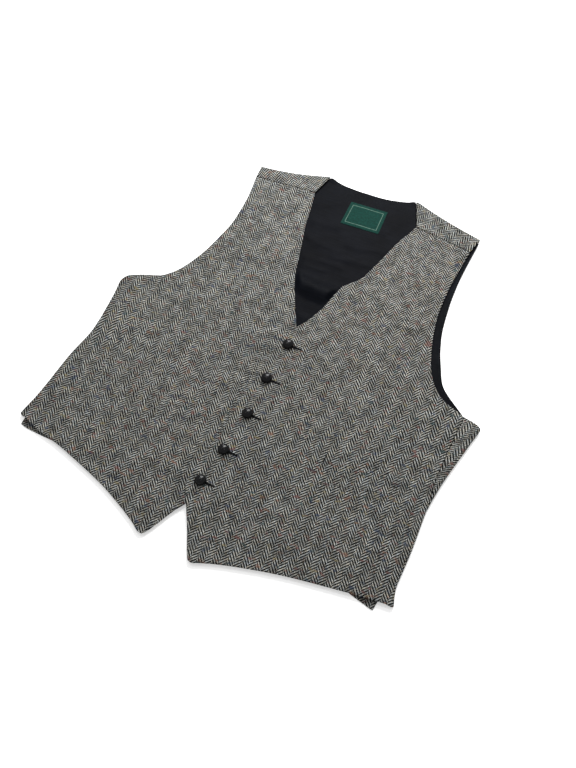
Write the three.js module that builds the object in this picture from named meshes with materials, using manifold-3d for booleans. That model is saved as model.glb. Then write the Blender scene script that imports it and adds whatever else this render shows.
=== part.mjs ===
import * as THREE from "three";
import Module from "manifold-3d";

// A tweed waistcoat, buttoned and laid flat on its back.
// +Y runs to the neck, +X to the wearer's left side and +Z up from the surface; millimetres.
// Plan tables are measured from a point beside the top button. At the end everything is moved
// so that the origin is on the surface under the middle of the garment.

const wasm = await Module();
wasm.setup();

// Cloth walls and the spaces between layers
const CLOTH = 2.2;
const LINING = 1.0;
const WELT = 1.2;
const LABEL = 0.8;
const LAYER_GAP = 0.3;
const SEAM_GAP = 0.4;
const LAP_GAP = 0.6;

// Middle heights of the cloth walls above the surface
const BACK_LEVEL = CLOTH / 2;
const LINING_BOTTOM = CLOTH + LAYER_GAP;
const LINING_TOP = LINING_BOTTOM + LINING;
const FRONT_LOWEST = LINING_TOP + LAYER_GAP + CLOTH / 2;
const FRONT_LEVEL = FRONT_LOWEST + 0.7;
const FOLD_LEVEL = 6.5;
const LAP_RISE = CLOTH + LAP_GAP;

// Folded edges: the cloth turns over in a half circle
const FOLD_RADIUS = (FOLD_LEVEL - BACK_LEVEL) / 2;
const FOLD_REACH = FOLD_RADIUS + CLOTH / 2;
const QUARTER_TURN = (Math.PI * FOLD_RADIUS) / 2;
const TURN_STEPS = 6;
const JOINT = 34;

// Grid steps of the cloth
const LOWER_ROWS = 20;
const UPPER_ROWS = 19;
const FRONT_COLUMNS = 13;
const SHOULDER_COLUMNS = 5;
const NECK_COLUMNS = 8;
const CROWDED_STEP = 0.5;

const BUTTON_RADIUS = 7.5;
const BUTTON_HEIGHT = 8.5;
const SHANK_RADIUS = 1.5;
const EYE_RADIUS = 2.2;
const SLIT_WIDTH = 1.2;
const SLIT_LENGTH = 19;
const BUTTONS = [
  { x: 2.5, y: -3.6 },
  { x: -0.2, y: -62.7 },
  { x: 0.5, y: -120.2 },
  { x: -3.5, y: -178.8 },
  { x: -9.7, y: -228.2 },
];

const LABEL_CORNERS = [
  { x: -20.5, y: 221.8 },
  { x: 36.8, y: 225.8 },
  { x: 34, y: 268.8 },
  { x: -21.6, y: 264.9 },
];

// Side of the garment: s runs along the cloth, nought on the outermost line of the fold,
// positive over the top and negative underneath.
// fold: outermost x at height y; seam: s of the side seam at height y;
// underarm and hem: height y of the armhole and of the front's hem at s.
const RIGHT_SIDE = {
  sign: -1,
  fold: [
    { y: -241, x: -264 },
    { y: -204, x: -258.5 },
    { y: -140, x: -254 },
    { y: -87, x: -247 },
    { y: -37, x: -250 },
    { y: -3, x: -254.5 },
  ],
  seam: [
    { y: -251, s: -4.5 },
    { y: -120, s: -15 },
    { y: 0, s: -24 },
  ],
  underarm: [
    { s: 34, y: 22.5 },
    { s: 20, y: 15.5 },
    { s: 6, y: 7 },
    { s: 0, y: -3 },
    { s: -6, y: 3 },
    { s: -24, y: 13 },
  ],
  hem: [
    { s: 34, y: -252.3 },
    { s: 17, y: -246.3 },
    { s: 0, y: -241 },
    { s: -8, y: -242 },
  ],
};
const LEFT_SIDE = {
  sign: 1,
  fold: [
    { y: -273, x: 263.6 },
    { y: -260, x: 259.8 },
    { y: -246, x: 257.6 },
    { y: -210, x: 257.6 },
    { y: -150, x: 254.9 },
    { y: -115, x: 257.7 },
    { y: -46, x: 269.9 },
    { y: -13, x: 276.6 },
  ],
  seam: [
    { y: -285, s: -19.5 },
    { y: -200, s: -11 },
    { y: -146, s: 0 },
    { y: -100, s: 10 },
    { y: -46, s: 20 },
    { y: -4, s: 27 },
  ],
  underarm: [
    { s: 34, y: -2 },
    { s: 27, y: -4.5 },
    { s: 8, y: -8.5 },
    { s: 2, y: -11.5 },
    { s: 0, y: -13 },
    { s: -8, y: -9 },
    { s: -22, y: -3.5 },
    { s: -34, y: 0.5 },
  ],
  hem: [
    { s: 34, y: -277 },
    { s: 0, y: -273.5 },
    { s: -34, y: -271 },
  ],
};

// Open side vents: the corners of the back hang lower and stand off the fronts
const VENT_HEIGHT = 0.16;
const VENT_DROP = { right: 10, left: 14 };
const VENT_SPREAD = 2.5;

// Front panels: x of the centre edge at height y, y of the hem at x, x of the armhole at
// height y, and both ends of the shoulder seam
const RIGHT_FRONT = {
  side: RIGHT_SIDE,
  edge: [
    { y: 256, x: -76 },
    { y: 226, x: -69 },
    { y: 195, x: -63 },
    { y: 167, x: -55.2 },
    { y: 140, x: -47.3 },
    { y: 113, x: -40.6 },
    { y: 98, x: -34.9 },
    { y: 80, x: -26.6 },
    { y: 62, x: -17.8 },
    { y: 35, x: -3.3 },
    { y: 5, x: 11 },
    { y: -60, x: 16 },
    { y: -170, x: 13 },
    { y: -222, x: 6 },
    { y: -262, x: -13.2 },
    { y: -276, x: -21.4 },
    { y: -302, x: -32.9 },
    { y: -315, x: -39.5 },
    { y: -318.3, x: -42.5 },
  ],
  hem: [
    { x: -42.5, y: -318.3 },
    { x: -47, y: -317.9 },
    { x: -59, y: -310.7 },
    { x: -85, y: -297.6 },
    { x: -119, y: -283 },
    { x: -164, y: -268.4 },
    { x: -200, y: -258.2 },
    { x: -230, y: -252.3 },
  ],
  armhole: [
    { y: 22.5, x: -220.5 },
    { y: 30, x: -205.6 },
    { y: 53, x: -187.3 },
    { y: 91, x: -172.4 },
    { y: 120, x: -165.2 },
    { y: 165, x: -160.2 },
    { y: 200, x: -161.3 },
    { y: 246.8, x: -167.6 },
  ],
  underarmRowY: -26,
  seamNeck: { x: -76, y: 256 },
  seamTip: { x: -167.8, y: 246.8 },
};
const LEFT_FRONT = {
  side: LEFT_SIDE,
  edge: [
    { y: 259, x: 82 },
    { y: 243, x: 76.6 },
    { y: 223, x: 69 },
    { y: 188, x: 60.2 },
    { y: 157, x: 51.8 },
    { y: 146, x: 48.5 },
    { y: 133, x: 42.5 },
    { y: 125, x: 34.5 },
    { y: 116, x: 28.5 },
    { y: 105, x: 25 },
    { y: 77, x: 19.6 },
    { y: 60, x: 14.6 },
    { y: 43, x: 8.8 },
    { y: 29, x: 0.8 },
    { y: 19.5, x: -4.5 },
    { y: -4, x: -14.5 },
    { y: -50, x: -19.5 },
    { y: -165, x: -21 },
    { y: -228, x: -28.5 },
    { y: -259, x: -13.7 },
    { y: -288, x: 3.1 },
    { y: -318, x: 19 },
    { y: -324, x: 23 },
  ],
  hem: [
    { x: 23, y: -324 },
    { x: 28, y: -325.4 },
    { x: 36, y: -322.2 },
    { x: 50, y: -316.7 },
    { x: 80, y: -307.2 },
    { x: 135, y: -293.4 },
    { x: 188, y: -283.9 },
    { x: 230, y: -277 },
  ],
  armhole: [
    { y: -2, x: 243.5 },
    { y: 6, x: 221 },
    { y: 20, x: 203 },
    { y: 41, x: 189 },
    { y: 70, x: 178 },
    { y: 104, x: 169 },
    { y: 138, x: 164 },
    { y: 174, x: 163 },
    { y: 248, x: 167 },
  ],
  underarmRowY: -40,
  seamNeck: { x: 82, y: 259 },
  seamTip: { x: 167, y: 248 },
};

// Back: its armholes, the shoulder folds and the neck curve
const BACK_RIGHT_ARMHOLE = [
  { y: 13, x: -230 },
  { y: 30, x: -199 },
  { y: 53, x: -180 },
  { y: 91, x: -167 },
  { y: 142, x: -157 },
  { y: 200, x: -157 },
  { y: 259, x: -167.2 },
];
const BACK_LEFT_ARMHOLE = [
  { y: 0.5, x: 243.5 },
  { y: 22, x: 215 },
  { y: 36, x: 205.3 },
  { y: 61, x: 194.5 },
  { y: 81, x: 186.5 },
  { y: 104, x: 179.7 },
  { y: 137, x: 174.6 },
  { y: 167, x: 171.5 },
  { y: 201, x: 170.3 },
  { y: 267, x: 172.5 },
];
const BACK_HEM = [
  { x: -257, y: -251.6 },
  { x: -246, y: -254.2 },
  { x: -213, y: -255.3 },
  { x: -14, y: -246 },
  { x: 150, y: -262 },
  { x: 214, y: -279.7 },
  { x: 230, y: -283.4 },
];
const RIGHT_SHOULDER = { tip: { x: -170, y: 269.6 }, neck: { x: -68.5, y: 295.2 }, hollow: 3.8 };
const LEFT_SHOULDER = { tip: { x: 172.8, y: 276.8 }, neck: { x: 66, y: 305 }, hollow: 2.4 };
const SHOULDER_JOINT = { tip: 10, neck: 4.6 };
const NECK = [
  { x: -66.4, y: 294.3 },
  { x: -52.8, y: 291.2 },
  { x: -40, y: 289.2 },
  { x: -19.6, y: 288.6 },
  { x: 5.4, y: 289.7 },
  { x: 20.7, y: 291.1 },
  { x: 35.3, y: 294 },
  { x: 54.8, y: 300.2 },
  { x: 64, y: 303.7 },
];

// Soft ridges and troughs of the fronts: a line in plan, how far it spreads and its height
const FORMS = [
  { x0: -196, y0: 40, x1: -240, y1: -120, spread: 15, height: -1.8 },
  { x0: -236, y0: 0, x1: -238, y1: -60, spread: 14, height: 1.4 },
  { x0: -160, y0: 116, x1: -58, y1: 128, spread: 17, height: 1.9 },
  { x0: -128, y0: 84, x1: -48, y1: 80, spread: 14, height: -0.7 },
  { x0: 46, y0: 122, x1: 148, y1: 98, spread: 14, height: 1.9 },
  { x0: 60, y0: 84, x1: 130, y1: 66, spread: 13, height: -0.7 },
  { x0: 73, y0: 42, x1: 50, y1: -70, spread: 18, height: 1.3 },
  { x0: -90, y0: 20, x1: -70, y1: -90, spread: 26, height: 1.2 },
  { x0: 150, y0: -20, x1: 170, y1: -90, spread: 30, height: 1.4 },
  { x0: -120, y0: 170, x1: -110, y1: 225, spread: 24, height: 0.9 },
  { x0: 125, y0: 160, x1: 120, y1: 225, spread: 24, height: 0.9 },
  { x0: -190, y0: -225, x1: -90, y1: -250, spread: 24, height: 0.9 },
  { x0: 90, y0: -250, x1: 190, y1: -235, spread: 26, height: 0.9 },
];

// Pocket welts: lower ends, and how far they stand up from them
const RIGHT_POCKET = { outer: { x: -204, y: -144 }, inner: { x: -106, y: -163 }, rise: 27 };
const LEFT_POCKET = { inner: { x: 113, y: -171 }, outer: { x: 208, y: -144 }, rise: 28 };

const clamp = (value, low, high) => Math.min(high, Math.max(low, value));
const lerp = (a, b, t) => a + (b - a) * t;
const blend = (a, b, t) => ({ x: lerp(a.x, b.x, t), y: lerp(a.y, b.y, t) });
const smooth = (from, to, value) => {
  const t = clamp((value - from) / (to - from), 0, 1);
  return t * t * (3 - 2 * t);
};

// Smooth curve through a table without overshoot; flat beyond its ends
function curve(table, input, output) {
  const rows = [...table].sort((p, q) => p[input] - q[input]);
  const rates = rows.slice(1).map((row, i) => {
    return (row[output] - rows[i][output]) / (row[input] - rows[i][input]);
  });
  const slopes = rows.map((row, i) => {
    if (i === 0) return rates[0];
    if (i === rows.length - 1) return rates[i - 1];
    const product = rates[i - 1] * rates[i];
    return product <= 0 ? 0 : (2 * product) / (rates[i - 1] + rates[i]);
  });
  return (value) => {
    const at = clamp(value, rows[0][input], rows[rows.length - 1][input]);
    const i = Math.max(0, rows.findIndex((row) => at <= row[input]) - 1);
    const width = rows[i + 1][input] - rows[i][input];
    const t = (at - rows[i][input]) / width;
    const before = rows[i][output] * (1 + 2 * t) + slopes[i] * width * t;
    const after = rows[i + 1][output] * (3 - 2 * t) - slopes[i + 1] * width * (1 - t);
    return before * (1 - t) * (1 - t) + after * t * t;
  };
}

for (const side of [RIGHT_SIDE, LEFT_SIDE]) {
  side.foldX = curve(side.fold, "y", "x");
  side.seamS = curve(side.seam, "y", "s");
  side.underarmY = curve(side.underarm, "s", "y");
  side.hemY = curve(side.hem, "s", "y");
}
for (const front of [RIGHT_FRONT, LEFT_FRONT]) {
  front.edgeX = curve(front.edge, "y", "x");
  front.hemY = curve(front.hem, "x", "y");
  front.armholeX = curve(front.armhole, "y", "x");
}
const backRightArmholeX = curve(BACK_RIGHT_ARMHOLE, "y", "x");
const backLeftArmholeX = curve(BACK_LEFT_ARMHOLE, "y", "x");
const backHemY = curve(BACK_HEM, "x", "y");
const neckY = curve(NECK, "x", "y");

// Height added at (x, y) by one soft form: a bell across its line
function formHeight(form, x, y) {
  const along = new THREE.Vector2(form.x1 - form.x0, form.y1 - form.y0);
  const from = new THREE.Vector2(x - form.x0, y - form.y0);
  const t = clamp(from.dot(along) / along.lengthSq(), 0, 1);
  const distance = from.distanceTo(along.multiplyScalar(t));
  return form.height * Math.exp(-((distance / form.spread) ** 2));
}

// How near (x, y) is to a side fold or a shoulder fold: one beside it, nought inside
function foldNearness(x, y) {
  const right = 1 - smooth(9, 42, x - RIGHT_SIDE.foldX(y));
  const left = 1 - smooth(9, 42, LEFT_SIDE.foldX(y) - x);
  const shoulder = x < 0 ? RIGHT_SHOULDER : LEFT_SHOULDER;
  const t = (x - shoulder.tip.x) / (shoulder.neck.x - shoulder.tip.x);
  const foldY = lerp(shoulder.tip.y, shoulder.neck.y, t);
  const top = 1 - smooth(10, 60, foldY - y);
  return Math.max(right, left, top);
}

// Middle height of the fronts' cloth before one laps over the other
function frontHeight(x, y) {
  const near = foldNearness(x, y);
  const forms = FORMS.reduce((sum, form) => sum + formHeight(form, x, y), 0);
  const free = FRONT_LEVEL + (FOLD_LEVEL - FRONT_LEVEL) * near + forms * (1 - near ** 2);
  return Math.max(FRONT_LOWEST, free);
}

// The left front lies on the right one and settles beyond its edge
function lappedHeight(x, y) {
  const beyond = x - RIGHT_FRONT.edgeX(y);
  return frontHeight(x, y) + LAP_RISE * (1 - smooth(5, 45, beyond));
}

// Point of the cloth that turns round a side fold, s along it at height y
function sidePoint(side, s, y, height) {
  const centre = side.foldX(y) - side.sign * FOLD_REACH;
  if (Math.abs(s) <= QUARTER_TURN) {
    const angle = s / FOLD_RADIUS;
    const facing = new THREE.Vector3(side.sign * Math.cos(angle), 0, Math.sin(angle));
    const point = facing.clone().multiplyScalar(FOLD_RADIUS);
    point.add(new THREE.Vector3(centre, y, BACK_LEVEL + FOLD_RADIUS));
    point.facing = facing;
    return point;
  }
  const x = centre - side.sign * (Math.abs(s) - QUARTER_TURN);
  return new THREE.Vector3(x, y, s > 0 ? height(x, y) : BACK_LEVEL);
}

// Places of the cloth's lines across a side fold, from the joint over the fold to its end
const turn = Array.from({ length: TURN_STEPS + 1 }, (_, i) => {
  return QUARTER_TURN * (1 - (2 * i) / TURN_STEPS);
});
const FOLD_LINES = [JOINT, 24, 14, 7, ...turn, -8, -14];

// Heights of the lower rows: from the hem at nought to the armhole at one
const rowY = (side, t, s) => lerp(side.hemY(s), side.underarmY(s), t);

// Height of a row and the s at which it meets the side seam
function seamEnd(side, t) {
  let s = side.seamS(rowY(side, t, 0));
  for (let i = 0; i < 4; i += 1) {
    s = side.seamS(rowY(side, t, s));
  }
  return s;
}

// Sheet of cloth: patches of four-sided faces that share their corner points
class Sheet {
  constructor() {
    this.points = [];
    this.faces = [];
    this.known = new Map();
  }

  pointIndex(point) {
    const key = point.toArray().map((value) => Math.round(value * 200)).join(" ");
    if (!this.known.has(key)) {
      this.known.set(key, this.points.length);
      this.points.push(point);
    }
    return this.known.get(key);
  }

  // Rows run up the garment and their points to the wearer's left
  addPatch(rows) {
    const grid = rows.map((row) => row.map((point) => this.pointIndex(point)));
    for (let r = 0; r + 1 < grid.length; r += 1) {
      for (let c = 0; c + 1 < grid[r].length; c += 1) {
        this.addFace(grid[r][c], grid[r][c + 1], grid[r + 1][c + 1], grid[r + 1][c]);
      }
    }
  }

  // The shorter diagonal splits a face; a side shorter than a hair drops out
  addFace(a, b, c, d) {
    const across = this.points[a].distanceTo(this.points[c]);
    const other = this.points[b].distanceTo(this.points[d]);
    const pair = across <= other ? [[a, b, c], [a, c, d]] : [[a, b, d], [b, c, d]];
    for (const face of pair) {
      if (new Set(face).size === 3) {
        this.faces.push(face);
      }
    }
  }

  // Wall of the given thickness with the sheet in its middle. Each point moves along the
  // mean direction of its faces, or where it knows it, the way that the fold faces there
  wall(thickness) {
    const normals = this.points.map(() => new THREE.Vector3());
    for (const [a, b, c] of this.faces) {
      const ab = this.points[b].clone().sub(this.points[a]);
      const ac = this.points[c].clone().sub(this.points[a]);
      const normal = ab.cross(ac);
      [a, b, c].forEach((corner) => normals[corner].add(normal));
    }
    this.points.forEach(({ facing }, i) => {
      if (facing) {
        normals[i].copy(facing).multiplyScalar(Math.sign(facing.dot(normals[i])));
      }
      normals[i].setLength(thickness / 2);
    });
    const outer = this.points.map((point, i) => point.clone().add(normals[i]));
    const inner = this.points.map((point, i) => point.clone().sub(normals[i]));
    const count = this.points.length;
    const triangles = [];
    const edges = new Map();
    for (const [a, b, c] of this.faces) {
      triangles.push([a, b, c], [a + count, c + count, b + count]);
      for (const [from, to] of [[a, b], [b, c], [c, a]]) {
        edges.set(`${from} ${to}`, [from, to]);
      }
    }
    for (const [from, to] of edges.values()) {
      if (!edges.has(`${to} ${from}`)) {
        triangles.push([from, from + count, to + count], [from, to + count, to]);
      }
    }
    return solid([...outer, ...inner], triangles);
  }
}

function solid(points, triangles) {
  const geometry = new THREE.BufferGeometry();
  const positions = points.flatMap((point) => point.toArray());
  geometry.setAttribute("position", new THREE.Float32BufferAttribute(positions, 3));
  geometry.setIndex(triangles.flat());
  return geometry;
}

// Front panel: a main patch from the centre edge to the side, and the patch that turns
// round the side fold below the armhole
function frontSheet(front, height) {
  const { side } = front;
  const gap = SEAM_GAP / 2;
  const point = front.edge[front.edge.length - 1];
  const rows = [];
  const folded = [];
  for (let r = 0; r <= LOWER_ROWS; r += 1) {
    const t = r / LOWER_ROWS;
    const end = seamEnd(side, t) + gap;
    const inner = { y: lerp(point.y, front.underarmRowY, t) };
    inner.x = front.edgeX(inner.y);
    const line = FOLD_LINES.map((place, i) => {
      const s = Math.max(place, end + (FOLD_LINES.length - 1 - i) * CROWDED_STEP);
      return sidePoint(side, s, rowY(side, t, s), height);
    });
    line.push(sidePoint(side, end, rowY(side, t, end), height));
    folded.push(line);
    rows.push({ inner, outer: { x: line[0].x, y: line[0].y } });
  }
  for (let r = 1; r <= UPPER_ROWS; r += 1) {
    const t = r / UPPER_ROWS;
    const inner = { y: lerp(front.underarmRowY, front.seamNeck.y - gap, t) };
    inner.x = front.edgeX(inner.y);
    const outer = { y: lerp(front.armhole[0].y, front.seamTip.y - gap, t ** 1.3) };
    outer.x = front.armholeX(outer.y);
    rows.push({ inner, outer });
  }
  const chord = rows[0];
  const patch = rows.map((row, r) => {
    const hemPull = (1 - smooth(0, 0.3, r / LOWER_ROWS));
    return Array.from({ length: FRONT_COLUMNS + 1 }, (_, c) => {
      const u = c / FRONT_COLUMNS;
      const place = blend(row.inner, row.outer, u);
      const below = blend(chord.inner, chord.outer, u);
      place.y += (front.hemY(below.x) - below.y) * hemPull;
      return new THREE.Vector3(place.x, place.y, height(place.x, place.y));
    });
  });
  folded.forEach((line, r) => {
    line[0] = patch[r][FRONT_COLUMNS];
  });
  const sheet = new Sheet();
  if (side.sign < 0) {
    patch.forEach((line) => line.reverse());
    folded.forEach((line) => line.reverse());
  }
  sheet.addPatch(patch);
  sheet.addPatch(folded);
  return sheet;
}

// Drop of the back's vent corner and how far it draws away from the seam
const ventShare = (t) => (1 - clamp(t / VENT_HEIGHT, 0, 1)) ** 2;

// Back of the garment: the main patch, the strip that turns over the left side fold, and
// the two shoulder bands that turn over to meet the fronts
function backSheet() {
  const gap = SEAM_GAP / 2;
  const columns = 2 * SHOULDER_COLUMNS + NECK_COLUMNS;
  const rows = [];
  const folded = [];
  for (let r = 0; r <= LOWER_ROWS; r += 1) {
    const t = r / LOWER_ROWS;
    const vent = ventShare(t);
    const rightS = seamEnd(RIGHT_SIDE, t) - gap - VENT_SPREAD * vent;
    const rightY = rowY(RIGHT_SIDE, t, rightS) - VENT_DROP.right * vent;
    const leftEnd = seamEnd(LEFT_SIDE, t) - gap - VENT_SPREAD * vent;
    const line = FOLD_LINES.map((place, i) => {
      const s = Math.min(-place, leftEnd - (FOLD_LINES.length - i) * CROWDED_STEP);
      const fall = VENT_DROP.left * vent * smooth(-80, -20, s);
      return sidePoint(LEFT_SIDE, s, rowY(LEFT_SIDE, t, s) - fall, frontHeight);
    });
    const endFall = VENT_DROP.left * vent * smooth(-80, -20, leftEnd);
    const endY = rowY(LEFT_SIDE, t, leftEnd) - endFall;
    line.push(sidePoint(LEFT_SIDE, leftEnd, endY, frontHeight));
    folded.push(line);
    rows.push({ left: sidePoint(RIGHT_SIDE, rightS, rightY, frontHeight), right: line[0] });
  }
  const rightTop = shoulderPoint(RIGHT_SHOULDER, 0, 0);
  const leftTop = shoulderPoint(LEFT_SHOULDER, 0, 0);
  for (let r = 1; r <= UPPER_ROWS; r += 1) {
    const t = (r / UPPER_ROWS) ** 1.2;
    const left = { y: lerp(BACK_RIGHT_ARMHOLE[0].y, rightTop.y, t) };
    left.x = lerp(backRightArmholeX(left.y), rightTop.x, smooth(0.9, 1, t));
    const right = { y: lerp(BACK_LEFT_ARMHOLE[0].y, leftTop.y, t) };
    right.x = lerp(backLeftArmholeX(right.y), leftTop.x, smooth(0.9, 1, t));
    rows.push({ left, right });
  }
  const top = Array.from({ length: columns + 1 }, (_, c) => backTopPoint(c));
  const width = leftTop.x - rightTop.x;
  const last = rows.length - 1;
  const hem = rows[0];
  const patch = rows.map((row, r) => {
    const lift = smooth(0.5, 1, r / last);
    const pull = 1 - smooth(0, 0.4, r / LOWER_ROWS);
    return top.map((end, c) => {
      const share = (end.x - rightTop.x) / width;
      const across = lerp(c / columns, share, r / last);
      const place = blend(row.left, row.right, across);
      const below = blend(hem.left, hem.right, across);
      place.y += (backHemY(below.x) - below.y) * pull;
      place.y += (end.y - lerp(rightTop.y, leftTop.y, share)) * lift;
      return new THREE.Vector3(place.x, place.y, BACK_LEVEL);
    });
  });
  folded.forEach((line, r) => {
    line[0] = patch[r][columns];
  });
  const sheet = new Sheet();
  sheet.addPatch(patch);
  sheet.addPatch(folded);
  sheet.addPatch(shoulderRows(RIGHT_SHOULDER, RIGHT_FRONT, false));
  sheet.addPatch(shoulderRows(LEFT_SHOULDER, LEFT_FRONT, true));
  return sheet;
}

// Point of the top row of the back's main patch: shoulder, neck, shoulder
function backTopPoint(column) {
  if (column <= SHOULDER_COLUMNS) {
    return shoulderPoint(RIGHT_SHOULDER, column / SHOULDER_COLUMNS, 0);
  }
  const past = column - SHOULDER_COLUMNS;
  if (past >= NECK_COLUMNS) {
    return shoulderPoint(LEFT_SHOULDER, 1 - (past - NECK_COLUMNS) / SHOULDER_COLUMNS, 0);
  }
  const share = (past - 1) / (NECK_COLUMNS - 2);
  const x = lerp(NECK[0].x, NECK[NECK.length - 1].x, share);
  return new THREE.Vector3(x, neckY(x), BACK_LEVEL);
}

// Shoulder fold: step nought is the joint underneath, then round the turn to the top
function shoulderPoint(shoulder, along, step) {
  const place = blend(shoulder.tip, shoulder.neck, along);
  const hollow = 4 * shoulder.hollow * along * (1 - along);
  const run = new THREE.Vector2(
    shoulder.neck.x - shoulder.tip.x,
    shoulder.neck.y - shoulder.tip.y,
  ).normalize();
  const out = run.x > 0 ? { x: -run.y, y: run.x } : { x: run.y, y: -run.x };
  const angle = Math.PI * ((step - 1) / TURN_STEPS - 0.5);
  const joint = lerp(SHOULDER_JOINT.tip, SHOULDER_JOINT.neck, along);
  const inside = hollow + (step === 0 ? joint : FOLD_REACH - FOLD_RADIUS * Math.cos(angle));
  const z = step === 0 ? BACK_LEVEL : BACK_LEVEL + FOLD_RADIUS * (1 + Math.sin(angle));
  return new THREE.Vector3(place.x - out.x * inside, place.y - out.y * inside, z);
}

// Rows of a shoulder band, from the joint over the fold to the seam on the front
function shoulderRows(shoulder, front, reversed) {
  const turned = Array.from({ length: TURN_STEPS + 2 }, (_, step) => {
    return Array.from({ length: SHOULDER_COLUMNS + 1 }, (_unused, c) => {
      return shoulderPoint(shoulder, c / SHOULDER_COLUMNS, step);
    });
  });
  const top = turned[turned.length - 1];
  const band = [0.33, 0.67, 1].map((share) => {
    return top.map((start, c) => {
      const end = blend(front.seamTip, front.seamNeck, c / SHOULDER_COLUMNS);
      end.y += SEAM_GAP / 2;
      const place = blend(start, end, share);
      return new THREE.Vector3(place.x, place.y, frontHeight(place.x, place.y));
    });
  });
  const rows = [...turned, ...band];
  if (reversed) {
    rows.forEach((row) => row.reverse());
  }
  return rows;
}

// Lining of the back: a flat sheet a little inside the back's outline
function liningOutline() {
  const inset = 1;
  const foldInset = FOLD_REACH + 5;
  const outline = [];
  for (const y of [-262, -220, -160, -100, -50, -16]) {
    outline.push([LEFT_SIDE.foldX(y) - foldInset, y]);
  }
  for (const y of [0, 8, 20, 33, 47, 80, 110, 145, 180, 220, 262]) {
    outline.push([backLeftArmholeX(y) - inset, y - inset]);
  }
  const shoulderInset = FOLD_REACH + 3;
  outline.push([LEFT_SHOULDER.tip.x - 4, LEFT_SHOULDER.tip.y - shoulderInset]);
  outline.push([LEFT_SHOULDER.neck.x - 1, LEFT_SHOULDER.neck.y - shoulderInset]);
  for (const x of [62.8, 55, 45, 35, 21, 5, -10, -25, -40, -53, -65]) {
    outline.push([x, neckY(x) - inset]);
  }
  outline.push([RIGHT_SHOULDER.neck.x + 1, RIGHT_SHOULDER.neck.y - shoulderInset]);
  outline.push([RIGHT_SHOULDER.tip.x + 4, RIGHT_SHOULDER.tip.y - shoulderInset]);
  for (const y of [240, 200, 142, 110, 91, 70, 53, 40, 30, 20]) {
    outline.push([backRightArmholeX(y) + inset, y - inset]);
  }
  for (const y of [-6, -37, -87, -140, -190, -236]) {
    outline.push([RIGHT_SIDE.foldX(y) + foldInset, y]);
  }
  return outline;
}

// Top surface of a solid at (x, y), found on its triangles
function topHeight(geometry, x, y) {
  const index = geometry.getIndex();
  const position = geometry.getAttribute("position");
  const corners = [new THREE.Vector3(), new THREE.Vector3(), new THREE.Vector3()];
  let top = -Infinity;
  for (let i = 0; i < index.count; i += 3) {
    corners.forEach((corner, k) => corner.fromBufferAttribute(position, index.getX(i + k)));
    const [a, b, c] = corners;
    const area = (b.x - a.x) * (c.y - a.y) - (c.x - a.x) * (b.y - a.y);
    if (Math.abs(area) < 1e-9) continue;
    const v = ((x - a.x) * (c.y - a.y) - (c.x - a.x) * (y - a.y)) / area;
    const w = ((b.x - a.x) * (y - a.y) - (x - a.x) * (b.y - a.y)) / area;
    if (v >= 0 && w >= 0 && v + w <= 1) {
      top = Math.max(top, a.z + v * (b.z - a.z) + w * (c.z - a.z));
    }
  }
  return top;
}

// Pocket welt: a strip laid on the front, made from the front's own surface
function weltWall(pocket, front) {
  const ends = [pocket.inner, pocket.outer].sort((a, b) => a.x - b.x);
  const rows = [0, 0.25, 0.5, 0.75, 1].map((up) => {
    return Array.from({ length: 13 }, (_, c) => {
      const place = blend(ends[0], ends[1], c / 12);
      const y = place.y + pocket.rise * up;
      const z = topHeight(front, place.x, y) + LAYER_GAP + WELT / 2;
      return new THREE.Vector3(place.x, y, z);
    });
  });
  const sheet = new Sheet();
  sheet.addPatch(rows);
  return sheet.wall(WELT);
}

function toManifold(geometry) {
  return new wasm.Manifold(new wasm.Mesh({
    numProp: 3,
    vertProperties: new Float32Array(geometry.getAttribute("position").array),
    triVerts: new Uint32Array(geometry.getIndex().array),
  }));
}

function fromManifold(body) {
  const mesh = body.getMesh();
  const geometry = new THREE.BufferGeometry();
  geometry.setAttribute("position", new THREE.BufferAttribute(mesh.vertProperties, 3));
  geometry.setIndex(new THREE.BufferAttribute(mesh.triVerts, 1));
  return geometry;
}

// Keyhole: a round eye at the button and a slit that runs away from the edge
function keyhole(button) {
  const depth = 30;
  const eye = wasm.Manifold.cylinder(depth, EYE_RADIUS, EYE_RADIUS, 16);
  const slit = wasm.Manifold.cube([SLIT_LENGTH, SLIT_WIDTH, depth]).translate([0, -SLIT_WIDTH / 2, 0]);
  return eye.add(slit).translate([button.x, button.y, 0]);
}

// Domed button on a short shank that stands on the under layer
function buttonBody(button, under, over) {
  const foot = topHeight(under, button.x, button.y) + LAYER_GAP;
  const around = [0, 45, 90, 135, 180, 225, 270, 315].map((degrees) => {
    const angle = THREE.MathUtils.degToRad(degrees);
    const x = button.x + BUTTON_RADIUS * Math.cos(angle);
    const y = button.y + BUTTON_RADIUS * Math.sin(angle);
    return topHeight(over, x, y);
  });
  const seat = Math.max(...around) + LAYER_GAP;
  const rise = BUTTON_HEIGHT - 2;
  const dome = Array.from({ length: 7 }, (_, i) => {
    const angle = (Math.PI / 2) * (i / 6);
    return [BUTTON_RADIUS * Math.cos(angle), seat + 2 + rise * Math.sin(angle)];
  });
  const profile = [
    [0, foot],
    [SHANK_RADIUS, foot],
    [SHANK_RADIUS, seat],
    [BUTTON_RADIUS - 2, seat],
    ...dome.slice(0, -1),
    [0, seat + 2 + rise],
  ];
  return wasm.Manifold.revolve([profile], 24).translate([button.x, button.y, 0]);
}

const finish = (color, roughness) => {
  return new THREE.MeshStandardMaterial({ color, roughness, metalness: 0 });
};
const TWEED = finish(0x6d6c68, 0.95);
const SATIN = finish(0x26282c, 0.5);
const WOVEN_LABEL = finish(0x1e4b41, 0.8);
const LEATHER = finish(0x1d1c1e, 0.42);

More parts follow.
